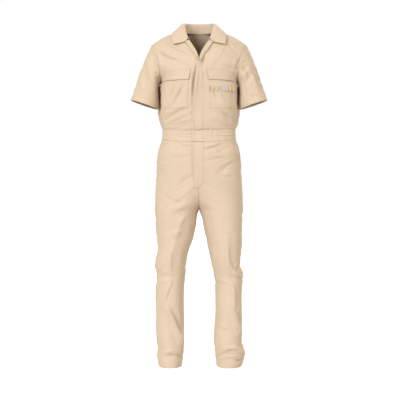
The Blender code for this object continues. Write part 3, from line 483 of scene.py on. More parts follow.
LEG_CREASES = (
    (172, 235, 178, 235, 182, 232, 5, 0.8),
    (186, 214, 180, 224, 173, 247, 12, 1.2),
    (172, 248, 171, 262, 172, 278, 9, 2.4),
    (172, 280, 168, 291, 164, 302, 9, 4.6),
    (158, 277, 164, 276, 171, 278, 4.5, -1.4),
    (157, 281, 165, 280, 172, 279, 4.5, 1.2),
    (173, 277, 179, 273, 186, 271, 6, -0.8),
    (164, 302, 171, 307, 177, 314, 6, -2.4),
    (164, 303, 175, 320, 184, 349, 6, 3.8),
    (172, 305, 179, 318, 183, 334, 7, -1.2),
    (170, 318, 174, 332, 180, 348, 8, -2.2),
    (161, 355, 170, 349, 178, 352, 5, 3.4),
    (164, 358, 174, 353, 184, 357, 5, -3.6),
    (177, 364, 181, 359, 184, 355, 5, -2.6),
    (158, 332, 160, 333, 162, 332, 3, -1.8),
    (158, 338, 160, 339, 163, 338, 3, -1.8),
    (158, 345, 161, 346, 163, 345, 3, -1.8),
    (158, 351, 161, 352, 163, 351, 3, -1.8),
    (228, 244, 228, 258, 230, 274, 7, 2.6),
    (229, 261, 235, 272, 242, 277, 4, 2.6),
    (240, 258, 236, 263, 235, 268, 4, 1.6),
    (242, 262, 240, 268, 239, 273, 4, 1.2),
    (232, 266, 236, 274, 241, 280, 5, -1.4),
    (238, 258, 235, 262, 233, 266, 5, -1.0),
    (215, 279, 224, 280, 233, 283, 5, 1.4),
    (214, 275, 224, 277, 232, 279, 6, -1.2),
    (230, 276, 237, 278, 243, 277, 4, -1.6),
    (233, 283, 234, 297, 234, 311, 7, 1.6),
    (236, 284, 241, 297, 236, 313, 5, 2.2),
    (235, 311, 240, 326, 246, 350, 7, 3.2),
    (238, 312, 242, 325, 245, 338, 6, -2.2),
    (230, 315, 234, 330, 240, 347, 8, -1.8),
    (224, 310, 222, 317, 219, 325, 6, 1.8),
    (215, 326, 222, 326, 229, 328, 5, -2.4),
    (216, 335, 222, 332, 230, 329, 6, 2.4),
    (217, 336, 216, 343, 216, 350, 5, 2.2),
    (216, 355, 226, 350, 236, 350, 4.5, -3.4),
    (236, 350, 241, 352, 246, 356, 4.5, -3.0),
    (217, 352, 225, 346, 236, 346, 5, 3.6),
    (219, 357, 231, 353, 247, 354, 5, 3.2),
    (235, 357, 241, 359, 246, 356, 4, -3.4),
    (240, 362, 244, 361, 247, 358, 4, 2.4))
BAND_CREASES = (
    (192.5, 130, 192.5, 136, 193, 143, 4, -3.0),
    (164, 131.5, 178, 133, 192, 132.5, 4, -1.8),
    (165, 134.5, 179, 135.8, 193, 135.5, 3.5, -1.7),
    (166, 137, 178, 137.6, 190, 139, 3.5, -1.4),
    (178, 134, 186, 134.4, 193, 134, 3, 1.3),
    (196, 132, 204, 131, 212, 132, 3.5, -1.3),
    (214, 133, 224, 134, 235, 132.5, 4, -1.8),
    (216, 137, 224, 137.5, 234, 136.5, 3.5, -1.6),
    (209, 130, 208, 134, 209.5, 139, 3.5, -2.6),
    (211.5, 130, 211, 134, 212, 139, 3.2, 2.0),
    (214, 131, 213, 135, 214.5, 140, 3.5, -2.4),
    (217, 132, 216, 135, 217, 139, 3.2, 1.6))
ARM_CREASES = (
    (145, 66, 149, 80, 155, 95, 8, -2.8),
    (149, 62, 153, 74, 157, 88, 7, 2.2),
    (154, 62, 157, 70, 159, 80, 6, -2.6),
    (154, 75, 156, 76, 158, 75, 4, -2.4),
    (140, 72, 142, 84, 146, 97, 9, 1.8),
    (248, 62, 244, 64, 241, 67, 5, -2.6),
    (243, 68, 248, 76, 253, 87, 7, -2.8),
    (247, 66, 253, 78, 260, 92, 8, 2.2),
    (252, 72, 257, 81, 263, 92, 7, -2.4),
    (241, 79, 244, 88, 246, 98, 6, -2.2),
    (251, 96, 254, 97, 258, 98, 5, -1.6))
# creases of the hidden sides, in mm: across and up from behind, then front to back and up
BACK_CREASES = (
    (-60, -60, -80, -110, -70, -170, 16, -3),
    (60, -60, 84, -105, 72, -160, 16, -3),
    (-172, -158, -122, -232, -58, -288, 11, -3.5),
    (172, -150, 116, -244, 72, -306, 11, -3.5),
    (-150, -190, -110, -252, -66, -300, 9, 2.4),
    (-30, -90, -36, -180, -24, -262, 12, -2.2),
    (36, -104, 29, -192, 42, -276, 12, -2.2),
    (-155, -322, -102, -362, -40, -374, 9, -4.0),
    (44, -378, 98, -366, 154, -330, 9, -4.0),
    (-62, -392, 2, -408, 74, -396, 8, 2.6),
    (-168, -296, -142, -326, -108, -340, 8, -3.0),
    (168, -300, 138, -334, 112, -344, 8, -3.0),
    (-118, -500, -82, -518, -38, -526, 8, -2.6),
    (42, -522, 86, -514, 128, -498, 8, -2.6),
    (-20, -742, -72, -702, -134, -690, 11, -2.6),
    (22, -748, 76, -706, 132, -694, 11, -2.6),
    (-25, -778, -70, -842, -92, -926, 12, -3.2),
    (28, -784, 72, -854, 98, -934, 12, -3.2),
    (-168, -700, -150, -722, -110, -730, 8, -2.4),
    (120, -736, 156, -724, 176, -700, 8, -2.4),
    (-96, -900, -130, -960, -140, -1030, 11, 2.8),
    (104, -910, 136, -972, 144, -1040, 11, 2.8),
    (-70, -1040, -112, -1084, -168, -1104, 7, -4.0),
    (76, -1046, 122, -1092, 178, -1110, 7, -4.0),
    (-74, -1102, -118, -1106, -160, -1076, 6, 2.8),
    (82, -1110, 126, -1112, 170, -1084, 6, 2.8),
    (-142, -1178, -134, -1262, -148, -1340, 11, -3.0),
    (140, -1192, 150, -1272, 138, -1350, 11, -3.0),
    (-92, -1210, -104, -1290, -98, -1372, 11, 2.6),
    (-178, -1368, -132, -1392, -90, -1382, 7, -3.2),
    (90, -1376, 142, -1396, 190, -1380, 7, -3.2),
    (-150, -1470, -128, -1450, -96, -1440, 6, -2.4),
    (98, -1446, 130, -1452, 160, -1474, 6, -2.4))
SIDE_CREASES = (
    (-46, -240, 0, -241, 46, -239, 14, 4.0),
    (-46, -257, 0, -258, 46, -256, 14, 4.0),
    (-60, -300, -10, -330, 50, -318, 13, -4),
    (-50, -380, 0, -402, 60, -392, 12, -5),
    (-40, -350, 10, -362, 60, -350, 8, 2.4),
    (-70, -560, -30, -590, 20, -600, 9, -2.4),
    (-60, -622, 0, -642, 66, -624, 11, -2.6),
    (-74, -800, -10, -832, 62, -816, 12, -3.2),
    (-60, -900, 0, -918, 60, -902, 12, -2.2),
    (-80, -1060, -22, -1040, 50, -1056, 8, 2.6),
    (-82, -1082, -20, -1064, 52, -1076, 7, -4.6),
    (-76, -1092, -10, -1092, 60, -1094, 6, 2.8),
    (-75, -1106, -10, -1120, 60, -1108, 7, -3.8),
    (22, -1180, 8, -1262, 24, -1332, 11, -2.6),
    (-72, -1422, -10, -1408, 56, -1420, 6, -3.6),
    (-66, -1442, 0, -1448, 60, -1440, 6, 2.8),
    (-60, -1462, -10, -1468, 50, -1458, 6, -2.4))
SIDE_SHIFT = 17                 # how much higher the wearer's left side has its creases
ARM_BACK_CREASES = (
    (-232, -120, -222, -182, -194, -238, 9, -4.0),
    (-256, -170, -249, -222, -232, -280, 9, -3.0),
    (232, -132, 220, -188, 197, -232, 9, -4.0),
    (250, -182, 257, -232, 262, -290, 9, -3.0),
    (-204, -200, -220, -214, -242, -212, 6, -2.4),
    (206, -216, 224, -228, 246, -222, 6, -2.4),
    (-222, -84, -212, -128, -196, -168, 10, 2.4),
    (224, -92, 212, -136, 196, -176, 10, 2.4))
ARM_SIDE_CREASES = (
    (-42, -118, -10, -150, 32, -162, 9, -2.6),
    (-52, -206, 0, -236, 46, -228, 9, -3.0),
    (-34, -258, 8, -272, 50, -260, 7, -2.2))

# ------------------------------------------------------------------ curves and soft steps
def cubic(t, length, start, leave, end, arrive):
    """A smooth curve from start to end; leave and arrive are its slopes there over the length."""
    return ((2 * t**3 - 3 * t**2 + 1) * start + (t**3 - 2 * t**2 + t) * length * leave
            + (3 * t**2 - 2 * t**3) * end + (t**3 - t**2) * length * arrive)


def smooth(table, keys):
    """Every other column of a table at the keys of its first, on a smooth curve."""
    rows = np.array(table, dtype=float)
    if rows[0, 0] > rows[-1, 0]:
        rows = rows[::-1]
    x, y = rows[:, 0], rows[:, 1:]
    step = np.diff(x)[:, None]
    slope = np.diff(y, axis=0) / step
    tangent = np.empty_like(y)
    tangent[1:-1] = (slope[:-1] * step[1:] + slope[1:] * step[:-1]) / (step[:-1] + step[1:])
    tangent[0], tangent[-1] = slope[0], slope[-1]
    keys = np.clip(np.atleast_1d(np.asarray(keys, dtype=float)), x[0], x[-1])
    i = np.clip(np.searchsorted(x, keys, side="right") - 1, 0, len(x) - 2)
    t = ((keys - x[i]) / step[i, 0])[:, None]
    return cubic(t, step[i], y[i], tangent[i], y[i + 1], tangent[i + 1])


def straight(table, keys):
    """The second column of a table at the keys of its first, point to point."""
    rows = np.array(table, dtype=float)
    return np.interp(keys, rows[:, 0], rows[:, 1])


def signed_power(value, power):
    return np.sign(value) * np.abs(value) ** power


def soft_step(low, high, value):
    """0 up to low, 1 from high on, and an even slope between them."""
    t = np.clip((value - low) / (high - low), 0, 1)
    return t * t * (3 - 2 * t)


def bell(distance, width):
    """1 at no distance, falling away softly over the width."""
    return np.exp(-(distance / width)**2)


def rounded(distance, radius):
    """0 at an edge, and 1 from the radius on, along a quarter circle."""
    return np.sqrt(1 - (1 - np.clip(distance / radius, 0, 1))**2)


def close_at_ends(length, step, ends=PANEL_ENDS):
    """Distances along a length that lie closer together near both its ends."""
    ends = np.array(ends, dtype=float)
    if length < 4 * ends[-1]:
        ends = ends * length / (4 * ends[-1])
    count = max(int(round((length - 2 * ends[-1]) / step)), 2)
    middle = np.linspace(ends[-1], length - ends[-1], count + 1)[1:-1]
    return np.concatenate((ends, middle, length - ends[::-1]))


def strip_keys(low, high, length, step):
    """Keys from low to high, closer together near both ends; length is in mm."""
    return low + (high - low) * close_at_ends(length, step, STRIP_ENDS) / length


# ------------------------------------------------------------------ points on lines and grids
def run_of(line):
    """Distance along a line of points, from its start."""
    return np.concatenate(((0,), np.linalg.norm(np.diff(line, axis=0), axis=1).cumsum()))


def points_at(distances, run, line):
    """Points at distances along a line whose own points lie at the distances in run."""
    return np.stack([np.interp(distances, run, line[:, k]) for k in range(3)], axis=1)


def running(grid, axis):
    """Distance in mm along a grid's rows (axis 1) or columns (axis 0)."""
    run = np.linalg.norm(np.diff(grid, axis=axis), axis=2).cumsum(axis=axis) / MM
    pad = [(0, 0), (0, 0)]
    pad[axis] = (1, 0)
    return np.pad(run, pad)


def mirror(grid):
    return grid * np.array((-1.0, 1.0, 1.0))


def lengths(vectors):
    return np.maximum(np.linalg.norm(vectors, axis=-1, keepdims=True), 1e-12)


def sample(grid, rows, columns):
    """Values at fractional row and column positions of a grid."""
    r = np.clip(np.floor(rows).astype(int), 0, grid.shape[0] - 2)
    c = np.clip(np.floor(columns).astype(int), 0, grid.shape[1] - 2)
    u, v = (rows - r)[..., None], (columns - c)[..., None]
    return ((1 - u) * ((1 - v) * grid[r, c] + v * grid[r, c + 1])
            + u * ((1 - v) * grid[r + 1, c] + v * grid[r + 1, c + 1]))


def quads_of(index, flip):
    """Corner indices of each cell of a grid of point indices, turned over by flip."""
    corners = np.stack((index[:-1, :-1], index[:-1, 1:], index[1:, 1:], index[1:, :-1]), axis=2)
    faces = corners.reshape(-1, 4)
    return faces[:, ::-1] if flip else faces


def grid_quads(shape, flip=False):
    """The cells of a grid whose points are numbered row by row."""
    return quads_of(np.arange(shape[0] * shape[1]).reshape(shape), flip)


def square_to(points, faces):
    """Unit directions square to a surface of quads at its points."""
    corner = points[faces]
    cross = np.cross(corner[:, 2] - corner[:, 0], corner[:, 3] - corner[:, 1])
    total = np.zeros_like(points)
    for k in range(4):
        np.add.at(total, faces[:, k], cross)
    return total / lengths(total)


def respaced(grid, keys, count_step):
    """The same rows with their points at even distances, closer together near both ends."""
    run = running(grid, 1)
    widest = run[:, -1].max()
    shares = close_at_ends(widest, count_step)
    points, kept = [], []
    for row, distance, key in zip(grid, run, keys):
        length = distance[-1]
        at = shares * length / widest
        ends = min(1.0, length / SHORT_ROW)
        at[:NEAR] = shares[:NEAR] * ends
        at[-NEAR:] = length - (widest - shares[-NEAR:]) * ends
        at[NEAR:-NEAR] = np.interp(np.linspace(0, 1, len(shares) - 2 * NEAR + 2)[1:-1],
                                   (0, 1), (at[NEAR - 1], at[-NEAR]))
        points.append(points_at(at, distance, row))
        kept.append(np.interp(at, distance, key))
    return np.array(points), np.array(kept)


# ------------------------------------------------------------------ the garment's surface
def side_edge(armhole, ups):
    """Side seam up to the armpit, then the armhole to the shoulder."""
    ups = np.asarray(ups, dtype=float)
    seam = smooth(SIDE_SEAM, np.minimum(ups, ARMPIT_UP))
    hole = smooth(armhole, np.maximum(ups, ARMPIT_UP))
    return np.where((ups <= ARMPIT_UP)[:, None], seam, hole)


def bodice_half(ups, angles, edge, armhole, turn_table, swell_table=NO_BLOUSE):
    """Half a bodice panel: one row of points for each up, centre line to side."""
    swell = BLOUSE_FACTOR * smooth(swell_table, ups)
    inner = smooth(edge, ups)
    inner[:, 0] = np.maximum(inner[:, 0], 0.0)
    outer = side_edge(armhole, ups)
    turn, square, crown = smooth(turn_table, ups).T
    full = np.radians(np.clip(turn, 0, 90))[:, None]
    angle = full * np.asarray(angles, dtype=float)[None, :] / 90.0
    power = (2.0 / square)[:, None]
    across = np.sin(angle) ** power / np.sin(full) ** power
    around = (1 - signed_power(np.cos(angle), power)) / (1 - signed_power(np.cos(full), power))
    span = outer - inner
    x = inner[:, :1] + span[:, :1] * across + swell * np.sin(angle)**2 * np.sin(2 * angle)
    y = inner[:, 1:2] + span[:, 1:2] * around
    z = inner[:, 2:] + span[:, 2:] * across + crown[:, None] * 4 * across * (1 - across)
    return np.stack((x, y, z), axis=2) * MM


def sleeve_tube(distances, ups):
    """Rings from the armhole to the hem, each from the armpit round the front and back."""
    share_table = list(zip(ARM_UPS, np.linspace(0, 0.5, len(ARM_UPS))))
    half_share = smooth(share_table, ups)[:, 0]
    front = side_edge(FRONT_ARMHOLE, ups)
    back = side_edge(BACK_ARMHOLE, ups)[::-1][1:]
    head = np.vstack((front, back))
    share = np.concatenate((half_share, 1 - half_share[::-1][1:]))
    turn = 2 * np.pi * share[:, None]
    half_across, half_deep = SLEEVE_HEM_HALF
    hem = (np.array(SLEEVE_HEM_CENTRE) - half_across * np.cos(turn) * np.array(SLEEVE_HEM_OUT)
           + half_deep * np.sin(turn) * np.array((0.0, -1.0, 0.0)))
    top = (0.5 - 0.5 * np.cos(turn)) ** 0.8
    leave = (1 - top) * np.array(SLEEVE_UNDER_DIR) + top * np.array(SLEEVE_HEAD_DIR)
    length = np.linalg.norm(hem - head, axis=1)[:, None]
    rounding = bell(share - 0.5, SHOULDER_EVEN)[:, None]
    rings = []
    for t in distances:
        ring = cubic(t, length, head, leave, hem, np.array(SLEEVE_AXIS))
        even = np.mean([np.roll(ring, shift, axis=0) for shift in range(-5, 6)], axis=0)
        rings.append(ring + (even - ring) * rounding * soft_step(0, 0.25, t))
    return np.array(rings) * MM


def leg_panel(table, levels, shares, back):
    """A trouser panel: rows down the leg, columns from the centre seam or inseam to the side."""
    outer, inner, front, rear, seam_y, square = smooth(table, levels).T
    centre, half = (outer + inner) / 2, (outer - inner) / 2
    reach = np.clip(centre / half, 0.0, 1.0)
    start = np.where(inner < 0, np.arccos(-reach ** (square / 2)), np.pi)
    angle = start[:, None] * (1 - shares)
    power = (2.0 / square)[:, None]
    deep = (rear - seam_y if back else front - seam_y)[:, None]
    x = centre[:, None] + half[:, None] * signed_power(np.cos(angle), power)
    y = seam_y[:, None] + deep * np.abs(np.sin(angle)) ** power
    levels = np.asarray(levels, dtype=float)
    z = np.repeat(levels[:, None], shares.shape[1], axis=1)
    if back:
        low = np.clip((HEM_DROP_FROM - levels) / (HEM_DROP_FROM - HEM_Z), 0, 1)[:, None]
        z = z - HEM_BACK_DROP * low * np.sin(angle)
    else:
        fade = np.clip(1 - (WAIST_Z - levels) / DIP_REACH, 0, 1)[:, None]
        z = z - WAIST_FRONT_DIP * fade * np.clip(np.sin(angle), 0, 1) ** 2
    centre_seam = (shares == 0) & (inner < 0)[:, None]
    x = np.where(centre_seam, 0.0, x)
    return np.stack((x, y, z), axis=2) * MM


# ------------------------------------------------------------------ panels
class Panel:
    """One maker's piece of cloth on a fine grid, with the keys that part.py's tables use.

    seams and hems name its sides: top, bottom, start and end.  A closed panel runs all round."""

    def __init__(self, node, grid, row_keys, column_keys, flip, seams, hems="", closed=False):
        self.node, self.grid, self.flip, self.closed = node, grid, flip, closed
        self.row_keys, self.column_keys = np.asarray(row_keys, float), column_keys
        self.across, self.along = running(grid, 1), running(grid, 0)
        self.mirrored = grid[..., 0].mean() < 0
        self.x_keys = grid[..., 0] / MM
        sides = {"top": self.along, "bottom": self.along[-1:] - self.along,
                 "start": self.across, "end": self.across[:, -1:] - self.across}
        far = np.full(grid.shape[:2], FAR)
        self.seam = np.minimum.reduce([far] + [sides[name] for name in seams.split()])
        self.hem = np.minimum.reduce([far] + [sides[name] for name in hems.split()])
        self.mouth = far

    def quads(self, index):
        """Corner indices of each cell, turned so that the outside faces out."""
        if self.closed:
            index = np.concatenate((index, index[:, :1]), axis=1)
        return quads_of(index, self.flip)

    def locate(self, row_keys, column_keys, table):
        """Fractional rows and columns where the keys lie."""
        row_keys, column_keys = np.broadcast_arrays(np.asarray(row_keys, float), column_keys)
        rows = np.interp(row_keys, self.row_keys, np.arange(len(self.row_keys)))
        columns = np.empty(rows.shape)
        order = np.arange(table.shape[1])
        for place in np.ndindex(rows.shape):
            low = min(int(rows[place]), len(table) - 2)
            part = rows[place] - low
            columns[place] = np.interp(column_keys[place],
                                       (1 - part) * table[low] + part * table[low + 1], order)
        return rows, columns

    def at(self, row_keys, column_keys, table=None):
        """Folded points and outward directions where the keys lie."""
        rows, columns = self.locate(row_keys, column_keys,
                                    self.column_keys if table is None else table)
        normal = sample(self.square, rows, columns)
        return sample(self.place, rows, columns), normal / lengths(normal)


def bodice_panels():
    """The fronts and the back's two halves, their lowest rows, and how far up each row is."""
    # even rows to the gorge, then closer ones to the shoulder seam
    ups = np.concatenate((close_at_ends(GORGE_UP, WARP)[:-NEAR], np.arange(394, 448, 2.2),
                          (450, 452, 453.2, 454.1, 455)))
    ups = np.unique(np.concatenate((ups, (ARMPIT_UP, GORGE_UP))))
    angles = np.linspace(0, 90, 400)
    angle_rows = np.repeat(angles[None, :], len(ups), axis=0)
    front, keys = respaced(bodice_half(ups, angles, FRONT_EDGE, FRONT_ARMHOLE, FRONT_TURN),
                           angle_rows, WEFT)
    rear, rear_keys = respaced(bodice_half(ups, angles, BACK_EDGE, BACK_ARMHOLE, BACK_TURN,
                                           BACK_BLOUSE), angle_rows, WEFT)
    halves = (("front_left", front, keys, False), ("front_right", mirror(front), keys, True),
              ("back", rear, rear_keys, True), ("back", mirror(rear), rear_keys, False))
    panels = [Panel(node, grid, ups, grid_keys, flip, "top bottom end")
              for node, grid, grid_keys, flip in halves]
    return panels, front[0], rear[0], ups


def sleeve_panels(ups):
    """Tubes from the armholes, whose rows they meet, to the turned hems."""
    shares = close_at_ends(SLEEVE_LONG, WARP) / SLEEVE_LONG
    tube = sleeve_tube(shares, ups[ups >= ARMPIT_UP])[:, :-1]
    keys = np.repeat(np.arange(tube.shape[1])[None, :], len(shares), axis=0).astype(float)
    return [Panel("sleeve_left", tube, shares, keys, True, "top", "bottom", closed=True),
            Panel("sleeve_right", mirror(tube), shares, keys, False, "top", "bottom",
                  closed=True)]


def leg_panels():
    """The legs' fronts and backs, and apart from them the facings behind the hip pockets."""
    depth = close_at_ends(WAIST_Z - HEM_Z, WARP)
    levels = WAIST_Z - depth
    shares = np.repeat(LEG_SHARES, len(levels), axis=0)
    slant = straight(POCKET_SLANT, -levels)[:, None]
    pocket = -levels <= POCKET_SLANT[-1][0]
    begin = slant[pocket] - FACING_TUCK
    facing = begin + (1 - begin) * LEG_SHARES
    # the pocket's mouth is held at both its ends and free between them
    held = MOUTH_HELD * (1 - np.sin(np.pi * np.clip(depth / POCKET_DEEP, 0, 1)))
    held = np.where(pocket, held, FAR)[:, None]
    panels, facings = [], []
    for side, table, turn in (("left", LEFT_LEG, np.array), ("right", RIGHT_LEG, mirror)):
        left = side == "left"
        grid, keys = respaced(leg_panel(table, levels, shares * slant, False), shares * slant,
                              WEFT)
        front = Panel("leg_front_" + side, turn(grid), depth, keys, left, "top start end",
                      "bottom")
        front.mouth = held + front.across[:, -1:] - front.across
        grid, keys = respaced(leg_panel(table, levels, shares, True), shares, WEFT)
        rear = Panel("leg_back_" + side, turn(grid), depth, keys, not left, "top start end",
                     "bottom")
        panels += [front, rear]
        grid, keys = respaced(leg_panel(table, levels[pocket], facing, False), facing, WEFT)
        facings.append(Panel("hip_facing_" + side, turn(grid), depth[pocket], keys, left,
                             "top end"))
    return panels, facings


def waistband_panels(front_top, back_top):
    """Bands from the bodice's lowest rows to the trousers' first; the back's is one piece."""
    rows = close_at_ends(BAND_DEEP, 2.2) / BAND_DEEP
    bands = []
    for top, back in ((front_top, False), (back_top, True)):
        row = respaced(leg_panel(LEFT_LEG, (WAIST_Z,), LEG_SHARES, back), LEG_SHARES, WEFT)[0]
        run, aim = running(row, 1)[0], running(top[None], 1)[0]
        low = points_at(aim * run[-1] / aim[-1], run, row[0])
        grid = top[None] + rows[:, None, None] * (low - top)[None]
        grid[:, 0, 0] = 0.0
        bands.append((grid, np.repeat(aim[None] / aim[-1], len(rows), axis=0)))
    (front, keys), (rear, rear_keys) = bands
    whole = np.concatenate((mirror(rear)[:, ::-1], rear[:, 1:]), axis=1)
    whole_keys = np.concatenate((-rear_keys[:, ::-1], rear_keys[:, 1:]), axis=1)
    return [Panel("waistband_left", front, rows, keys, True, "top bottom end"),
            Panel("waistband_right", mirror(front), rows, keys, False, "top bottom end"),
            Panel("waistband_back", whole, rows, whole_keys, False, "top bottom start end")]


# ------------------------------------------------------------------ folding the cloth
def crease_line(x1, z1, x2, z2, x3, z3, count=9):
    """A soft curve through a fold's three points."""
    t = np.linspace(0, 1, count)[:, None]
    start, middle, end = np.array((x1, z1)), np.array((x2, z2)), np.array((x3, z3))
    pull = 2 * middle - (start + end) / 2
    return (1 - t)**2 * start + 2 * t * (1 - t) * pull + t**2 * end


def from_photo(creases):
    """Creases measured in the photo's points, brought to the front view in mm."""
    path = np.array(creases)
    path[:, 0:6:2] = (path[:, 0:6:2] - PHOTO_MIDDLE) * PHOTO_POINT
    path[:, 1:6:2] = (PHOTO_TOP - path[:, 1:6:2]) * PHOTO_POINT
    return tuple(map(tuple, path))


def nearest_on(line, points, width):
    """How far each point is from a line, how far along it, and how far to one hand in widths."""
    best = np.full(len(points), np.inf)
    along, hand = np.zeros(len(points)), np.zeros(len(points))
    for k in range(len(line) - 1):
        run = line[k + 1] - line[k]
        t = np.clip((points - line[k]) @ run / (run @ run), 0, 1)
        away = points - line[k] - t[:, None] * run
        gap = np.linalg.norm(away, axis=1)
        nearer = gap < best
        best = np.where(nearer, gap, best)
        along = np.where(nearer, (k + t) / (len(line) - 1), along)
        turn = run[0] * away[:, 1] - run[1] * away[:, 0]
        hand = np.where(nearer, turn / np.linalg.norm(run) / width, hand)
    return best, along, hand


def fold_height(flat, folds):
    """Rise in mm of the folds at points of a flat view: a crisp crest, one flank steeper."""
    rise = np.zeros(len(flat))
    for fold in folds:
        line, width, height = crease_line(*fold[:6]), NARROW * fold[6], fold[7]
        reach = FOLD_REACH * width
        low, high = line.min(axis=0) - reach, line.max(axis=0) + reach
        near = np.nonzero(((flat > low) & (flat < high)).all(axis=1))[0]
        if len(near) == 0:
            continue
        gap, along, hand = nearest_on(line, flat[near], width)
        taper = FOLD_TIP + (1 - FOLD_TIP) * np.sin(np.pi * along)**0.8
        flank = gap / width * (1 + LEAN * np.tanh(2 * hand))
        peak = np.exp(-PEAK_FALL * (np.hypot(flank, CREST) - CREST))
        core = ROUND_SHARE * bell(flank, 1) + (1 - ROUND_SHARE) * peak
        rise[near] += BOLD * height * taper * (core - DIP_DEEP * bell(flank - DIP_AWAY, DIP_WIDE))
    return rise


def rumple(points, size, seed, stretch):
    """Even noise from -1 to 1 at points in metres, with features of about the size in mm."""
    offset = np.array((seed, 2.7 * seed, 5.1 * seed))
    spots = points / (size * MM) / np.array(stretch) + offset
    return np.array([noise.noise(Vector(spot)) for spot in spots.tolist()])


class Cloth:
    """All the panels welded into one surface, folded, with distances to seams and hems."""

    def __init__(self, panels):
        everything = np.concatenate([p.grid.reshape(-1, 3) for p in panels])
        keys = np.round(everything * WELD_GRID).astype(np.int64)
        first, index = np.unique(keys, axis=0, return_index=True, return_inverse=True)[1:]
        index = index.ravel()
        self.points = everything[first]
        count, at, faces = len(self.points), 0, []
        self.seam, self.hem, self.mouth = (np.full(count, FAR) for _ in range(3))
        sleeve, body, band = (np.zeros(count, dtype=bool) for _ in range(3))
        for panel in panels:
            panel.index = index[at:at + panel.seam.size].reshape(panel.seam.shape)
            at += panel.seam.size
            faces.append(panel.quads(panel.index))
            np.minimum.at(self.seam, panel.index, panel.seam)
            np.minimum.at(self.hem, panel.index, panel.hem)
            np.minimum.at(self.mouth, panel.index, panel.mouth)
            (sleeve if panel.closed else body)[panel.index] = True
            if panel.node.startswith("waistband"):
                band[panel.index] = True
        faces = np.concatenate(faces)
        normal = square_to(self.points, faces)
        rise = self.folds(normal, sleeve, body) + self.rumples(band)
        self.points = self.points + normal * (rise * MM)[:, None]
        self.normal = square_to(self.points, faces)
        for panel in panels:
            panel.place, panel.square = self.points[panel.index], self.normal[panel.index]

    def folds(self, normal, sleeve, body):
        """The listed folds, each seen from the front, the back or the sides."""
        front = np.clip(-normal[:, 1] / FOLD_FADE, 0, 1)
        rear = np.clip(normal[:, 1] / FOLD_FADE, 0, 1)
        side = np.clip(np.abs(normal[:, 0]) * SIDE_GAIN - SIDE_LOSS, 0, 1)
        side *= np.where(normal[:, 0] * self.points[:, 0] > 0, OUTER_CALM, INNER_CALM)
        flat, profile = self.points[:, (0, 2)] / MM, self.points[:, (1, 2)] / MM
        on_front = FRONT_FOLDS + from_photo(CHEST_CREASES + BAND_CREASES + HIP_CREASES + LEG_CREASES)
        on_arms = SLEEVE_FOLDS + from_photo(ARM_CREASES)
        rise = np.where(sleeve & ~body, fold_height(flat, on_arms),
                        fold_height(flat, on_front)) * front
        profile[:, 1] -= np.where(normal[:, 0] > 0, SIDE_SHIFT, 0)
        rise += np.where(sleeve, fold_height(flat, ARM_BACK_CREASES),
                         fold_height(flat, BACK_FOLDS + BACK_CREASES)) * rear
        rise += np.where(sleeve, fold_height(profile, ARM_SIDE_CREASES),
                         fold_height(profile, SIDE_CREASES)) * side
        return np.where(sleeve & body, 0.0, rise)

    def rumples(self, band):
        """Soft unevenness, puckers along the seams, the seams' grooves and the turned hems."""
        seam, hem = self.seam, self.hem
        calm = np.clip(np.minimum(seam, hem) / CALM_REACH, CALM_LEAST, 1)
        kinds = ((calm, BROAD_RUMPLE), (calm, MIDDLE_RUMPLE), (1, FINE_RUMPLE),
                 (bell(seam, PUCKER_REACH), SEAM_PUCKER), (band, BAND_WRINKLE),
                 (band, BAND_RUMPLE))
        rise = np.zeros(len(seam))
        for share, (height, size, seed, stretch) in kinds:
            rise += height * share * rumple(self.points, size, seed, stretch)
        rise -= np.where(band, BAND_GROOVE, SEAM_GROOVE) * bell(seam, SEAM_GROOVE_WIDE)
        rise += SEAM_PAD * soft_step(*PAD_EDGE, seam) + MOUTH_GAPE * bell(self.mouth, MOUTH_REACH)
        return (rise + HEM_LIFT * soft_step(*HEM_TURN, hem)
                - HEM_GROOVE * bell(hem - HEM_LINE, HEM_GROOVE_WIDE))


# ------------------------------------------------------------------ meshes
def mesh_object(name, points, polygons, looks, slots=None, flat=None, painted_shade=None):
    """A smooth object; flat places the weave, and the shade weight is 1 where its colour takes the
    painted shade of seams and edges.
    """
    mesh = bpy.data.meshes.new(name)
    mesh.from_pydata(points.tolist(), [], polygons.tolist())
    for look in looks:
        mesh.materials.append(look)
    if slots is not None:
        mesh.polygons.foreach_set("material_index", slots.astype(np.int32))
    if flat is not None:
        layer = mesh.uv_layers.new(name="cloth_uv")
        corner = np.empty(len(mesh.loops), dtype=np.int32)
        mesh.loops.foreach_get("vertex_index", corner)
        layer.data.foreach_set("uv", flat[corner].ravel())
    if painted_shade is not None:
        # the painted shade weight, which the twill's colour reads
        mesh.attributes.new("painted_shade", "FLOAT", "POINT").data.foreach_set("value", painted_shade)
    mesh.polygons.foreach_set("use_smooth", np.ones(len(polygons), dtype=bool))
    mesh.update()
    obj = bpy.data.objects.new(name, mesh)
    bpy.context.scene.collection.objects.link(obj)
    return obj


def dress(obj, node):
    """The piece moves with the suit and stands for its CAD node, whose own mesh is hidden."""
    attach(obj, "root")
    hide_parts(node)


def rim_points(outer, inner, faces, border):
    """Points halfway down the cut edge, bulging away from the faces beside them."""
    total, ways = np.zeros((len(outer), 3)), np.zeros(len(outer))
    for k in range(4):
        np.add.at(total, faces[:, k], outer[faces].mean(axis=1))
        np.add.at(ways, faces[:, k], 1)
    away = outer[border] - total[border] / ways[border, None]
    depth = outer[border] - inner[border]
    unit = depth / lengths(depth)
    away -= unit * (away * unit).sum(axis=1, keepdims=True)
    return ((outer[border] + inner[border]) / 2
            + away / lengths(away) * np.linalg.norm(depth, axis=1, keepdims=True) * RIM_BULGE)


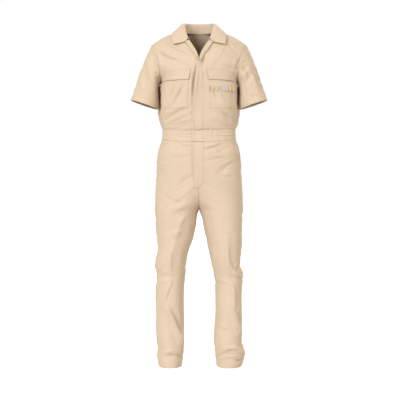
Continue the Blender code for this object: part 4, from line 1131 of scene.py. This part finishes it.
def cloth_piece(node, outer, inner, faces, looks, flat, painted_shade):
    """A thin closed shell between two layers of points, with a rounded rim, for a CAD node."""
    count = len(outer)
    ahead, behind = faces.ravel(), np.roll(faces, -1, axis=1).ravel()
    forward = ahead.astype(np.int64) * count + behind
    backward = behind.astype(np.int64) * count + ahead
    open_edge = ~np.isin(forward, backward)
    start, end = ahead[open_edge], behind[open_edge]
    border = np.unique(start)
    ring = np.zeros(count, dtype=np.int64)
    ring[border] = 2 * count + np.arange(len(border))
    upper = np.stack((end, start, ring[start], ring[end]), axis=1)
    lower = np.stack((ring[end], ring[start], start + count, end + count), axis=1)
    polygons = np.concatenate((faces, faces[:, ::-1] + count, upper, lower))
    slots = np.zeros(len(polygons), dtype=np.int32)
    slots[len(faces):2 * len(faces)] = 1
    points = np.vstack((outer, inner, rim_points(outer, inner, faces, border)))
    flat = np.vstack((flat, flat, flat[border]))
    painted_shade = np.concatenate((painted_shade, painted_shade, painted_shade[border]))
    dress(mesh_object(node + "_cloth", points, polygons, looks, slots, flat, painted_shade), node)


def panel_piece(cloth, panels, looks):
    """The shell of one maker's piece, from one or two welded grids."""
    faces = np.concatenate([panel.quads(panel.index) for panel in panels])
    used, local = np.unique(faces, return_inverse=True)
    flat = np.zeros((len(cloth.points), 2))
    for panel in panels:
        run = -panel.across if panel.mirrored else panel.across
        flat[panel.index] = np.stack((run, panel.along), axis=2) * MM
    thick = (CLOTH + HEM_THICK * MM * soft_step(*HEM_TURN, cloth.hem[used]))[:, None]
    outer = cloth.points[used]
    inner = outer - cloth.normal[used] * thick
    # painted shade: the colour darkens beside seams and hems
    painted_shade = bell(np.minimum(cloth.seam, cloth.hem)[used], PAINTED_SHADE_REACH)
    cloth_piece(panels[0].node, outer, inner, local.reshape(-1, 4), looks, flat[used], painted_shade)


class Layer:
    """A sewn-on piece's outer surface, with distances along and across it."""

    def __init__(self, place, square):
        self.place, self.square = place, square
        self.across, self.along = running(place, 1), running(place, 0)


def patch(panel, node, row_keys, column_keys, lift, thick, looks, table=None, puff=0.0,
          blend=0.0, painted_hollow_shade=0.0):
    """A piece sewn onto a panel: its points moved out by lift in mm, with soft edges.

    puff raises its middle.  blend is how far from its last column the piece thins out, where
    only stitches show, and the hollow weight is 1 where painted shade makes it as dark as beside a
    seam."""
    place, square = panel.at(row_keys, column_keys, table)
    across, along = running(place, 1), running(place, 0)
    from_end = across[:, -1:] - across
    edge = np.minimum.reduce((across, from_end, along, along[-1:] - along))
    low = np.broadcast_to(np.asarray(lift, float), edge.shape)
    rounding = rounded(edge, EDGE_ROUND)
    # painted shade: the colour darkens near the piece's edges and, by the hollow weight, between raised
    # parts
    painted_shade = np.maximum(bell(edge, PAINTED_SHADE_REACH), painted_hollow_shade)
    if blend:
        rounding = rounding * soft_step(-1, blend, from_end) - 0.2
        painted_shade = painted_shade * (0.3 + 0.7 * soft_step(0, 8, from_end))
    top = low + thick * (EDGE_THIN + (1 - EDGE_THIN) * rounding) + puff * soft_step(0, PUFF_REACH, edge)
    outer = place + square * (top * MM)[..., None]
    inner = place + square * (low * MM)[..., None]
    flat = np.stack((across, along), axis=2).reshape(-1, 2) * MM
    cloth_piece(node, outer.reshape(-1, 3), inner.reshape(-1, 3),
                grid_quads(edge.shape, panel.flip), looks, flat, painted_shade.ravel())
    return Layer(outer, square)


def joined(left, right):
    """Two panels that meet at the centre as one, from the right side seam to the left."""
    both = Panel.__new__(Panel)
    both.flip, both.row_keys = left.flip, left.row_keys
    for name, sign in (("place", 1), ("square", 1), ("x_keys", 1), ("column_keys", -1)):
        near, far = getattr(left, name), sign * getattr(right, name)
        setattr(both, name, np.concatenate((far[:, ::-1], near[:, 1:]), axis=1))
    return both


# ------------------------------------------------------------------ stitching
def edge_rows(layer, sides, distances, trim, begin=0.0):
    """Lines at distances in mm from sides of a layer or panel, kept trim mm off its corners.

    begin leaves out that share of a side's length at its start."""
    made = []
    for side in sides.split():
        place, square, run = layer.place, layer.square, layer.across
        if side in ("top", "bottom"):
            place, square = place.transpose(1, 0, 2), square.transpose(1, 0, 2)
            run = layer.along.T
        if side in ("bottom", "end"):
            place, square, run = place[:, ::-1], square[:, ::-1], run[:, -1:] - run[:, ::-1]
        order, rows = np.arange(run.shape[1]), np.arange(len(run)).astype(float)
        for distance in distances:
            columns = np.array([np.interp(distance, row, order) for row in run])
            line, out = sample(place, rows, columns), sample(square, rows, columns)
            length = run_of(line)
            keep = ((length >= max(trim * MM, begin * length[-1]))
                    & (length <= length[-1] - trim * MM))
            made.append((line[keep], out[keep]))
    return made


def stitch_quads(count):
    """Corner indices of stitches, each of four rings of four corners, closed at both ends."""
    corners = np.arange(16).reshape(4, 4)
    faces = [(corners[r, c], corners[r, (c + 1) % 4], corners[r + 1, (c + 1) % 4],
              corners[r + 1, c]) for r in range(3) for c in range(4)]
    faces += [tuple(corners[0][::-1]), tuple(corners[3])]
    starts = 16 * np.arange(count)
    return (np.array(faces)[None] + starts[:, None, None]).reshape(-1, 4)


def sew(name, look, *rows):
    """Rows of small rounded stitches as one piece; a row says what edge_rows is to be given."""
    stitches = []
    for line, out in [made for row in rows for made in edge_rows(*row)]:
        if len(line) < 2:
            continue
        run = run_of(line) / MM
        at = np.arange(STITCH_PITCH / 2, run[-1], STITCH_PITCH)
        centre, ahead, behind = (points_at(at + shift, run, line) for shift in (0, 1, -1))
        normal = points_at(at, run, out)
        along = (ahead - behind) / lengths(ahead - behind)
        normal = normal / lengths(normal)
        side = np.cross(along, normal)
        corners = []
        for share, wide in STITCH_RINGS:
            for turn in STITCH_TURNS:
                around = side * np.cos(turn * np.pi) + normal * (np.sin(turn * np.pi) + STITCH_PROUD)
                corners.append(centre + along * share * STITCH_LENGTH * MM
                               + around * wide * STITCH_RADIUS * MM)
        stitches.append(np.stack(corners, axis=1).reshape(-1, 3))
    points = np.concatenate(stitches)
    obj = mesh_object(name, points, stitch_quads(len(points) // 16), (look,))
    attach(obj, "root")


def seam_stitches(by_node, thread):
    """Double rows beside the felled seams, single rows on the waistband and the hems."""
    hem_row = (HEM_LINE,)
    for side in ("left", "right"):
        front, leg = by_node["front_" + side][0], by_node["leg_front_" + side][0]
        rear, sleeve = by_node["leg_back_" + side][0], by_node["sleeve_" + side][0]
        band = by_node["waistband_" + side][0]
        sew("bodice_stitches_" + side, thread, (front, "end bottom", DOUBLE_ROW, 2))
        sew("trouser_stitches_" + side, thread, (rear, "start end", DOUBLE_ROW, 2),
            (leg, "end", DOUBLE_ROW, 2), (leg, "bottom", hem_row, 1), (rear, "bottom", hem_row, 1))
        sew("sleeve_stitches_" + side, thread, (sleeve, "bottom", hem_row, 0))
        sew("waistband_stitches_" + side, thread, (band, "top bottom", SINGLE_ROW, 1))
    band, (back_left, back_right) = by_node["waistband_back"][0], by_node["back"]
    sew("back_stitches", thread, (band, "top bottom", SINGLE_ROW, 1),
        (back_left, "end", SINGLE_ROW, 1), (back_right, "end", SINGLE_ROW, 1),
        (back_left, "bottom", DOUBLE_ROW, 1), (back_right, "bottom", DOUBLE_ROW, 1))


# ------------------------------------------------------------------ what lies on the panels
def hip_facing(facing, looks):
    """The facing inside a hip pocket, dropped behind the leg's front but for its side and top."""
    own = Cloth([facing])
    drop = np.zeros(len(own.points))
    from_side = facing.across[:, -1:] - facing.across
    drop[facing.index] = (FACING_DROP * soft_step(2, 24, from_side)
                          * (0.05 + 0.95 * soft_step(0, 45, facing.along)))
    own.points = own.points - own.normal * drop[:, None] * MM
    panel_piece(own, [facing], looks)


def chest_pocket(panel, side, looks, thread):
    """A pocket, its lifted flap and their stitching."""
    ups = strip_keys(*POCKET_UPS, POCKET_HIGH, 4.0)[:, None]
    angles = strip_keys(*POCKET_ANGLES, POCKET_WIDE, 4.0)[None, :]
    pocket = patch(panel, "pocket_" + side, ups, angles, GAP, 1.0, looks, puff=1.0)
    ups = strip_keys(*FLAP_UPS, FLAP_HIGH, 2.5)[:, None]
    fall = 1 - (ups - FLAP_UPS[0]) / (FLAP_UPS[1] - FLAP_UPS[0])
    wave = 0.8 * np.sin(np.radians(angles * 9) + (1 if side == "left" else 2.4))
    lift = GAP + FLAP_HANG * np.clip(fall, 0, 1)**0.8 + (FLAP_KICK + wave) * soft_step(0.35, 1.0, fall)
    flap = patch(panel, "flap_" + side, ups, angles, lift, 1.5, looks)
    sew("pocket_" + side + "_stitches", thread, (pocket, "bottom start end", (1.6, 6.0), 1.6),
        (flap, "bottom", (2.0, 7.5), 2.0), (flap, "start end", (2.0,), 2.0),
        (flap, "top", (1.6, 6.0), 1.6))


def pen_strip(panel, looks, label_looks):
    """Narrow raised loops between sewn-down places, and a small bare label among them."""
    angles = strip_keys(*POCKET_ANGLES, POCKET_WIDE, 0.9)[None, :]
    ups = strip_keys(*LOOP_UPS, LOOP_HIGH, 2.0)[:, None]
    x = panel.at(sum(LOOP_UPS) / 2, angles)[0][..., 0] / MM
    loops = np.zeros_like(x)
    for low, high in PEN_LOOPS:
        inside = np.clip((x - low) / (high - low), 0, 1)
        loops = np.maximum(loops, np.sin(np.pi * inside)**0.5)
    across = (ups - LOOP_UPS[0]) / (LOOP_UPS[1] - LOOP_UPS[0])
    lift = LOOP_BASE + LOOP_RISE * loops * (0.75 + 0.25 * np.sin(np.pi * np.clip(across, 0, 1)))
    # painted shade: the strip's colour darkens between the loops
    patch(panel, "pen_loops", ups, angles, lift, 0.9, looks, painted_hollow_shade=1 - loops)
    ups = strip_keys(*LABEL_UPS, LABEL_HIGH, 2.0)[:, None]
    xs = strip_keys(*LABEL_X, LABEL_WIDE, 2.0)[None, :]
    patch(panel, "label", ups, xs, LABEL_LIFT, 0.5, label_looks, panel.x_keys)


def placket_band(fronts, looks):
    """The front's closing band, whose free edge stands off at the chest."""
    ups = strip_keys(1, PLACKET_LEAN[-1][0], 300, 4.0)[:, None]
    left = straight(PLACKET_LEAN, ups[:, 0])[:, None]
    right = np.array([np.interp(PLACKET_ANGLE, fronts.column_keys[k], fronts.x_keys[k])
                      for k in np.searchsorted(fronts.row_keys, ups[:, 0])])[:, None]
    share = strip_keys(0, 1, 2 * PLACKET_HALF, 2.0)[None, :]
    stand = PLACKET_STAND * bell(ups - STAND_UP, STAND_WIDE) * (1 - soft_step(0, 0.55, share))
    return patch(fronts, "placket", ups, left + (right - left) * share, GAP + stand, 1.6, looks,
                 fronts.x_keys, blend=7)


def waistband_end(band, looks):
    """The end of the left waistband, which laps over the right."""
    xs = strip_keys(-PLACKET_HALF, PLACKET_HALF, 2 * PLACKET_HALF, 2.0)[None, :]
    rows = strip_keys(0.02, 0.98, BAND_DEEP, 2.0)[:, None]
    return patch(band, "waistband_lap", rows, xs, GAP, 1.7, looks, band.x_keys, blend=7)


def fly_band(legs, looks):
    """The fly's facing, stitched on a curve that turns in at its foot."""
    depth = strip_keys(1, WAIST_Z - FLY_END_Z, 217, 3.0)[:, None]
    share = strip_keys(0, 1, 2 * PLACKET_HALF, 2.0)[None, :]
    bend = np.clip((depth - depth[-1] + FLY_BEND) / FLY_BEND, 0, 1)
    right = -PLACKET_HALF + FLY_TIP + (2 * PLACKET_HALF - FLY_TIP) * np.sqrt(1 - bend**2)
    xs = -PLACKET_HALF + (right + PLACKET_HALF) * share
    return patch(legs, "fly", depth, xs, GAP, 1.5, looks, legs.x_keys, blend=6)


def closing_bands(by_node, looks, thread):
    """Placket, the waistband end that laps over it, and the fly, one below another."""
    fronts, bands, legs = (joined(by_node[name + "left"][0], by_node[name + "right"][0])
                           for name in ("front_", "waistband_", "leg_front_"))
    placket, lap, fly = (placket_band(fronts, looks), waistband_end(bands, looks),
                         fly_band(legs, looks))
    sew("closing_stitches", thread, (placket, "start", (2.0,), 1.0),
        (placket, "end", (2.5, 8.0), 1.0), (placket, "top", (2.0,), 2.0),
        (lap, "start", (2.0,), 1.5), (lap, "end", (2.5,), 1.5),
        (fly, "start", (2.0,), 1.0), (fly, "end", (2.0, 8.0), 1.0))


def lapel(panel, side, looks, thread):
    """The facing turned out beside the roll line, from the closing up to the gorge."""
    low = LAPEL_WIDTH[0][0]
    ups = strip_keys(low, GORGE_UP - LAPEL_STOP, LAPEL_HIGH, 3.0)[:, None]
    width = straight(LAPEL_WIDTH, ups[:, 0])[:, None]
    share = strip_keys(0, 1, 22, 1.5)[None, :]
    # its foot rises over the layers beneath
    base = (2 if side == "left" else 3) * LAYER / MM
    lift = 0.4 + LAPEL_LIFT * share**0.8 + base * np.clip(1 - (ups - low) / 22, 0, 1)
    turned = patch(panel, "lapel_" + side, ups, width * share, lift, 1.5, looks, panel.across)
    sew("lapel_" + side + "_stitches", thread, (turned, "end bottom", (4.5,), 3.0))


def neck_seam(front, back):
    """The left half of the collar's seam: shares of its length, points and outward directions."""
    first = int(np.searchsorted(front.row_keys, GORGE_UP))
    low = int(np.searchsorted(back.row_keys, NAPE_UP))
    neck = np.vstack((front.place[first:, 0], back.place[low:-1, 0][::-1]))
    out = np.vstack((front.square[first:, 0], back.square[low:-1, 0][::-1]))
    run = run_of(neck)
    at = close_at_ends(run[-1] / MM, 3.5, COLLAR_ENDS) * MM
    # the nape is no edge, so the points there are spread evenly again
    at[-NEAR:] = np.linspace(at[-NEAR - 1], run[-1], NEAR + 1)[1:]
    return at / run[-1], points_at(at, run, neck), points_at(at, run, out)


def collar_half(share, neck, out):
    """Up from the neck seam, over the roll, and down the leaf to its edge."""
    roll, edge = smooth(COLLAR_ROLL, share) * MM, smooth(COLLAR_EDGE, share) * MM
    seam = neck + out * LAYER_GAP * 2
    fall, rise = edge - roll, roll - seam
    lean_out = fall / lengths(fall)
    level = np.cross(np.gradient(roll, axis=0), fall)
    level /= lengths(level)
    level *= np.sign(level[:, 2:])
    bow = np.clip(1 - share / LEAF_BOW_SHARE, 0, 1)[:, None]**2 * np.array(LEAF_BOW) * MM
    return through((seam, seam + 0.55 * rise, roll - 0.06 * rise + lean_out * 1.5 * MM,
                    roll + lean_out * 7 * MM + level * 1.5 * MM + 0.35 * bow,
                    roll + 0.5 * fall + level * LEAF_CROWN * MM + bow, edge))


def through(ribs, step=3.0):
    """Rows on a smooth curve through each column of the ribs, at even distances."""
    ribs = np.array(ribs)
    run = np.concatenate(((0,), np.linalg.norm(np.diff(ribs, axis=0), axis=2).mean(axis=1)
                          .cumsum())) / MM
    at = close_at_ends(run[-1], step, COLLAR_ENDS)
    table = np.column_stack((run, ribs.reshape(len(ribs), -1)))
    return smooth(table, at).reshape(len(at), ribs.shape[1], 3)


def collar(front, back, looks, thread):
    """Stand, roll and leaf in one piece, from the right tip round the nape to the left."""
    half = collar_half(*neck_seam(front, back))
    whole = np.concatenate((mirror(half), half[:, ::-1][:, 1:]), axis=1)
    faces = grid_quads(whole.shape[:2])
    square = square_to(whole.reshape(-1, 3), faces).reshape(whole.shape)
    across, along = running(whole, 1), running(whole, 0)
    rim = np.minimum.reduce((across, across[:, -1:] - across, along[-1:] - along))
    height, size, seed, stretch = COLLAR_RUMPLE
    wave = (height * rumple(whole.reshape(-1, 3), size, seed, stretch)).reshape(rim.shape)
    wave += 0.5 * soft_step(9, 6, rim) - 0.5 * bell(rim - 6, 1.1)
    thick = COLLAR_THICK * (0.3 + 0.7 * rounded(rim, 2))
    inner = whole + square * (wave * MM)[..., None]
    outer = inner + square * thick[..., None]
    flat = np.stack((across, along), axis=2).reshape(-1, 2) * MM
    # painted shade: the colour darkens at the collar's edges
    cloth_piece("collar", outer.reshape(-1, 3), inner.reshape(-1, 3), faces, looks, flat,
                bell(rim, PAINTED_SHADE_REACH).ravel())
    leaf = Layer(outer, square)
    sew("collar_stitches", thread, (leaf, "bottom", (COLLAR_ROW,), COLLAR_ROW),
        (leaf, "start end", (COLLAR_ROW,), COLLAR_ROW, LEAF_BEGIN))


# ------------------------------------------------------------------ materials
def add(tree, kind, values=(), links=(), settings=()):
    """A shader node with its input values, links into its inputs and its settings."""
    made = tree.nodes.new(kind)
    for name, value in settings:
        setattr(made, name, value)
    for name, value in values:
        made.inputs[name].default_value = value
    for name, socket in links:
        tree.links.new(socket, made.inputs[name])
    return made


def mottle(tree, place, scale, detail):
    """Soft noise from 0 to 1."""
    return add(tree, "ShaderNodeTexNoise", (("Scale", scale), ("Detail", detail)),
               (("Vector", place),)).outputs["Fac"]


def ranged(tree, socket, low, high):
    """A 0 to 1 value brought to a range around 1."""
    return add(tree, "ShaderNodeMapRange", (("To Min", low), ("To Max", high)),
               (("Value", socket),)).outputs["Result"]


def product(tree, first, second):
    return add(tree, "ShaderNodeMath", (), ((0, first), (1, second)),
               (("operation", "MULTIPLY"),)).outputs["Value"]


def shader_of(material):
    material.use_nodes = True
    return material.node_tree.nodes["Principled BSDF"]


def twill(name, colour, painted_shade_colour):
    """Cotton twill: a fine diagonal weave, slight random unevenness of tone, and painted shade that
    darkens it beside seams and edges.
    """
    material = bpy.data.materials.new(name)
    shader = shader_of(material)
    tree = material.node_tree
    for socket, value in TWILL_SHINE:
        shader.inputs[socket].default_value = value
    place = tree.nodes.new("ShaderNodeTexCoord").outputs["Object"]
    flat = add(tree, "ShaderNodeUVMap", (), (), (("uv_map", "cloth_uv"),)).outputs["UV"]
    broad = mottle(tree, place, 11.0, 3.0)
    fibre = mottle(tree, flat, 900.0, 2.0)
    weave = add(tree, "ShaderNodeTexWave", (("Scale", 220.0), ("Distortion", 1.2)),
                (("Vector", flat),), (("bands_direction", "DIAGONAL"),)).outputs["Fac"]
    crumple = mottle(tree, place, 70.0, 2.5)
    # painted shade: the colour turns to the shade colour where the mesh's painted shade weight is 1
    painted_shade = add(tree, "ShaderNodeAttribute", (), (), (("attribute_name", "painted_shade"),)).outputs["Fac"]
    shade = product(tree, ranged(tree, broad, 0.94, 1.06), ranged(tree, fibre, 0.95, 1.05))
    # a mix node's colours are its inputs 6 and 7, and its mixed colour is output 2
    base = add(tree, "ShaderNodeMix", ((6, colour), (7, painted_shade_colour)), (("Factor", painted_shade),),
               (("data_type", "RGBA"),))
    tinted = add(tree, "ShaderNodeVectorMath", (), ((0, base.outputs[2]), ("Scale", shade)),
                 (("operation", "SCALE"),))
    tree.links.new(tinted.outputs["Vector"], shader.inputs["Base Color"])
    thread = add(tree, "ShaderNodeBump", (("Strength", 0.35), ("Distance", 0.0002)),
                 (("Height", weave),))
    soft = add(tree, "ShaderNodeBump", (("Strength", 0.35), ("Distance", 0.0012)),
               (("Height", crumple), ("Normal", thread.outputs["Normal"])))
    tree.links.new(soft.outputs["Normal"], shader.inputs["Normal"])
    return material


def plain(name, colour, rough=0.6, glow=0.0):
    """One even colour, which may shine a little of its own light."""
    material = bpy.data.materials.new(name)
    shader = shader_of(material)
    shader.inputs["Base Color"].default_value = colour
    shader.inputs["Roughness"].default_value = rough
    if glow:
        shader.inputs["Emission Color"].default_value = colour
        shader.inputs["Emission Strength"].default_value = glow
    return material


# ------------------------------------------------------------------ camera, floor and light
def level_camera():
    """The photo's level view of the front."""
    camera = bpy.data.cameras.new("camera")
    camera.sensor_width, camera.lens = CAMERA_SENSOR, CAMERA_LENS
    obj = bpy.data.objects.new("camera", camera)
    obj.location = CAMERA_PLACE
    obj.rotation_euler = (np.pi / 2, 0.0, 0.0)
    bpy.context.scene.collection.objects.link(obj)
    bpy.context.scene.camera = obj


def pale_floor():
    """A wide floor that throws no light back up at the suit."""
    sides = (-FLOOR_WIDE, FLOOR_WIDE)
    points = np.array([(x, y, FLOOR_Z) for y in sides for x in sides])
    paper = plain("pale_paper", PAPER, 0.95, FLOOR_GLOW)
    floor = mesh_object("pale_floor", points, np.array(((0, 1, 3, 2),)), (paper,))
    floor.visible_diffuse = False


def studio_air():
    """White to the camera; to the suit, warm light that grows from below to above."""
    world = bpy.data.worlds.new("studio_air")
    bpy.context.scene.world = world
    world.use_nodes = True
    tree = world.node_tree
    sky = tree.nodes["Background"]
    sky.inputs["Color"].default_value = AIR_TINT
    way = tree.nodes.new("ShaderNodeTexCoord").outputs["Generated"]
    up = add(tree, "ShaderNodeSeparateXYZ", (), ((0, way),)).outputs["Z"]
    strength = add(tree, "ShaderNodeMapRange", (("From Min", -1.0), ("From Max", 1.0),
                                                ("To Min", AIR_LOW), ("To Max", AIR_HIGH)),
                   (("Value", up),)).outputs["Result"]
    tree.links.new(strength, sky.inputs["Strength"])
    behind = add(tree, "ShaderNodeBackground", (("Color", WHITE), ("Strength", 1.0)))
    seen = tree.nodes.new("ShaderNodeLightPath").outputs["Is Camera Ray"]
    both = add(tree, "ShaderNodeMixShader", (), ((0, seen), (1, sky.outputs[0]),
                                                  (2, behind.outputs[0])))
    tree.links.new(both.outputs[0], tree.nodes["World Output"].inputs["Surface"])


def sun(name, aim, power):
    """A broad, even light that shines along aim."""
    lamp = bpy.data.lights.new(name, "SUN")
    lamp.energy, lamp.angle, lamp.color = power, np.radians(SUN_SOFTNESS), SUN_TINT
    obj = bpy.data.objects.new(name, lamp)
    obj.rotation_euler = Vector(aim).to_track_quat("-Z", "Y").to_euler()
    bpy.context.scene.collection.objects.link(obj)


def studio():
    level_camera()
    pale_floor()
    studio_air()
    for name, aim, power in SUNS:
        sun(name, aim, power)
    bpy.context.scene.view_settings.view_transform = "Standard"


# ------------------------------------------------------------------ building
def main():
    looks = (twill("khaki_twill", KHAKI, KHAKI_PAINTED_SHADE), twill("khaki_inside", INSIDE, INSIDE))
    thread = plain("khaki_thread", THREAD)
    label_looks = (twill("bare_label", LABEL_GREY, LABEL_GREY),) * 2
    panels, front_top, back_top, ups = bodice_panels()
    legs, facings = leg_panels()
    panels += sleeve_panels(ups) + legs + waistband_panels(front_top, back_top)
    cloth = Cloth(panels)
    by_node = {}
    for panel in panels:
        by_node.setdefault(panel.node, []).append(panel)
    for grids in by_node.values():
        panel_piece(cloth, grids, looks)
    for facing in facings:
        hip_facing(facing, looks)
    for side in ("left", "right"):
        panel = by_node["front_" + side][0]
        chest_pocket(panel, side, looks, thread)
        lapel(panel, side, looks, thread)
    pen_strip(by_node["front_left"][0], looks, label_looks)
    closing_bands(by_node, looks, thread)
    collar(by_node["front_left"][0], by_node["back"][0], looks, thread)
    seam_stitches(by_node, thread)
    studio()


main()
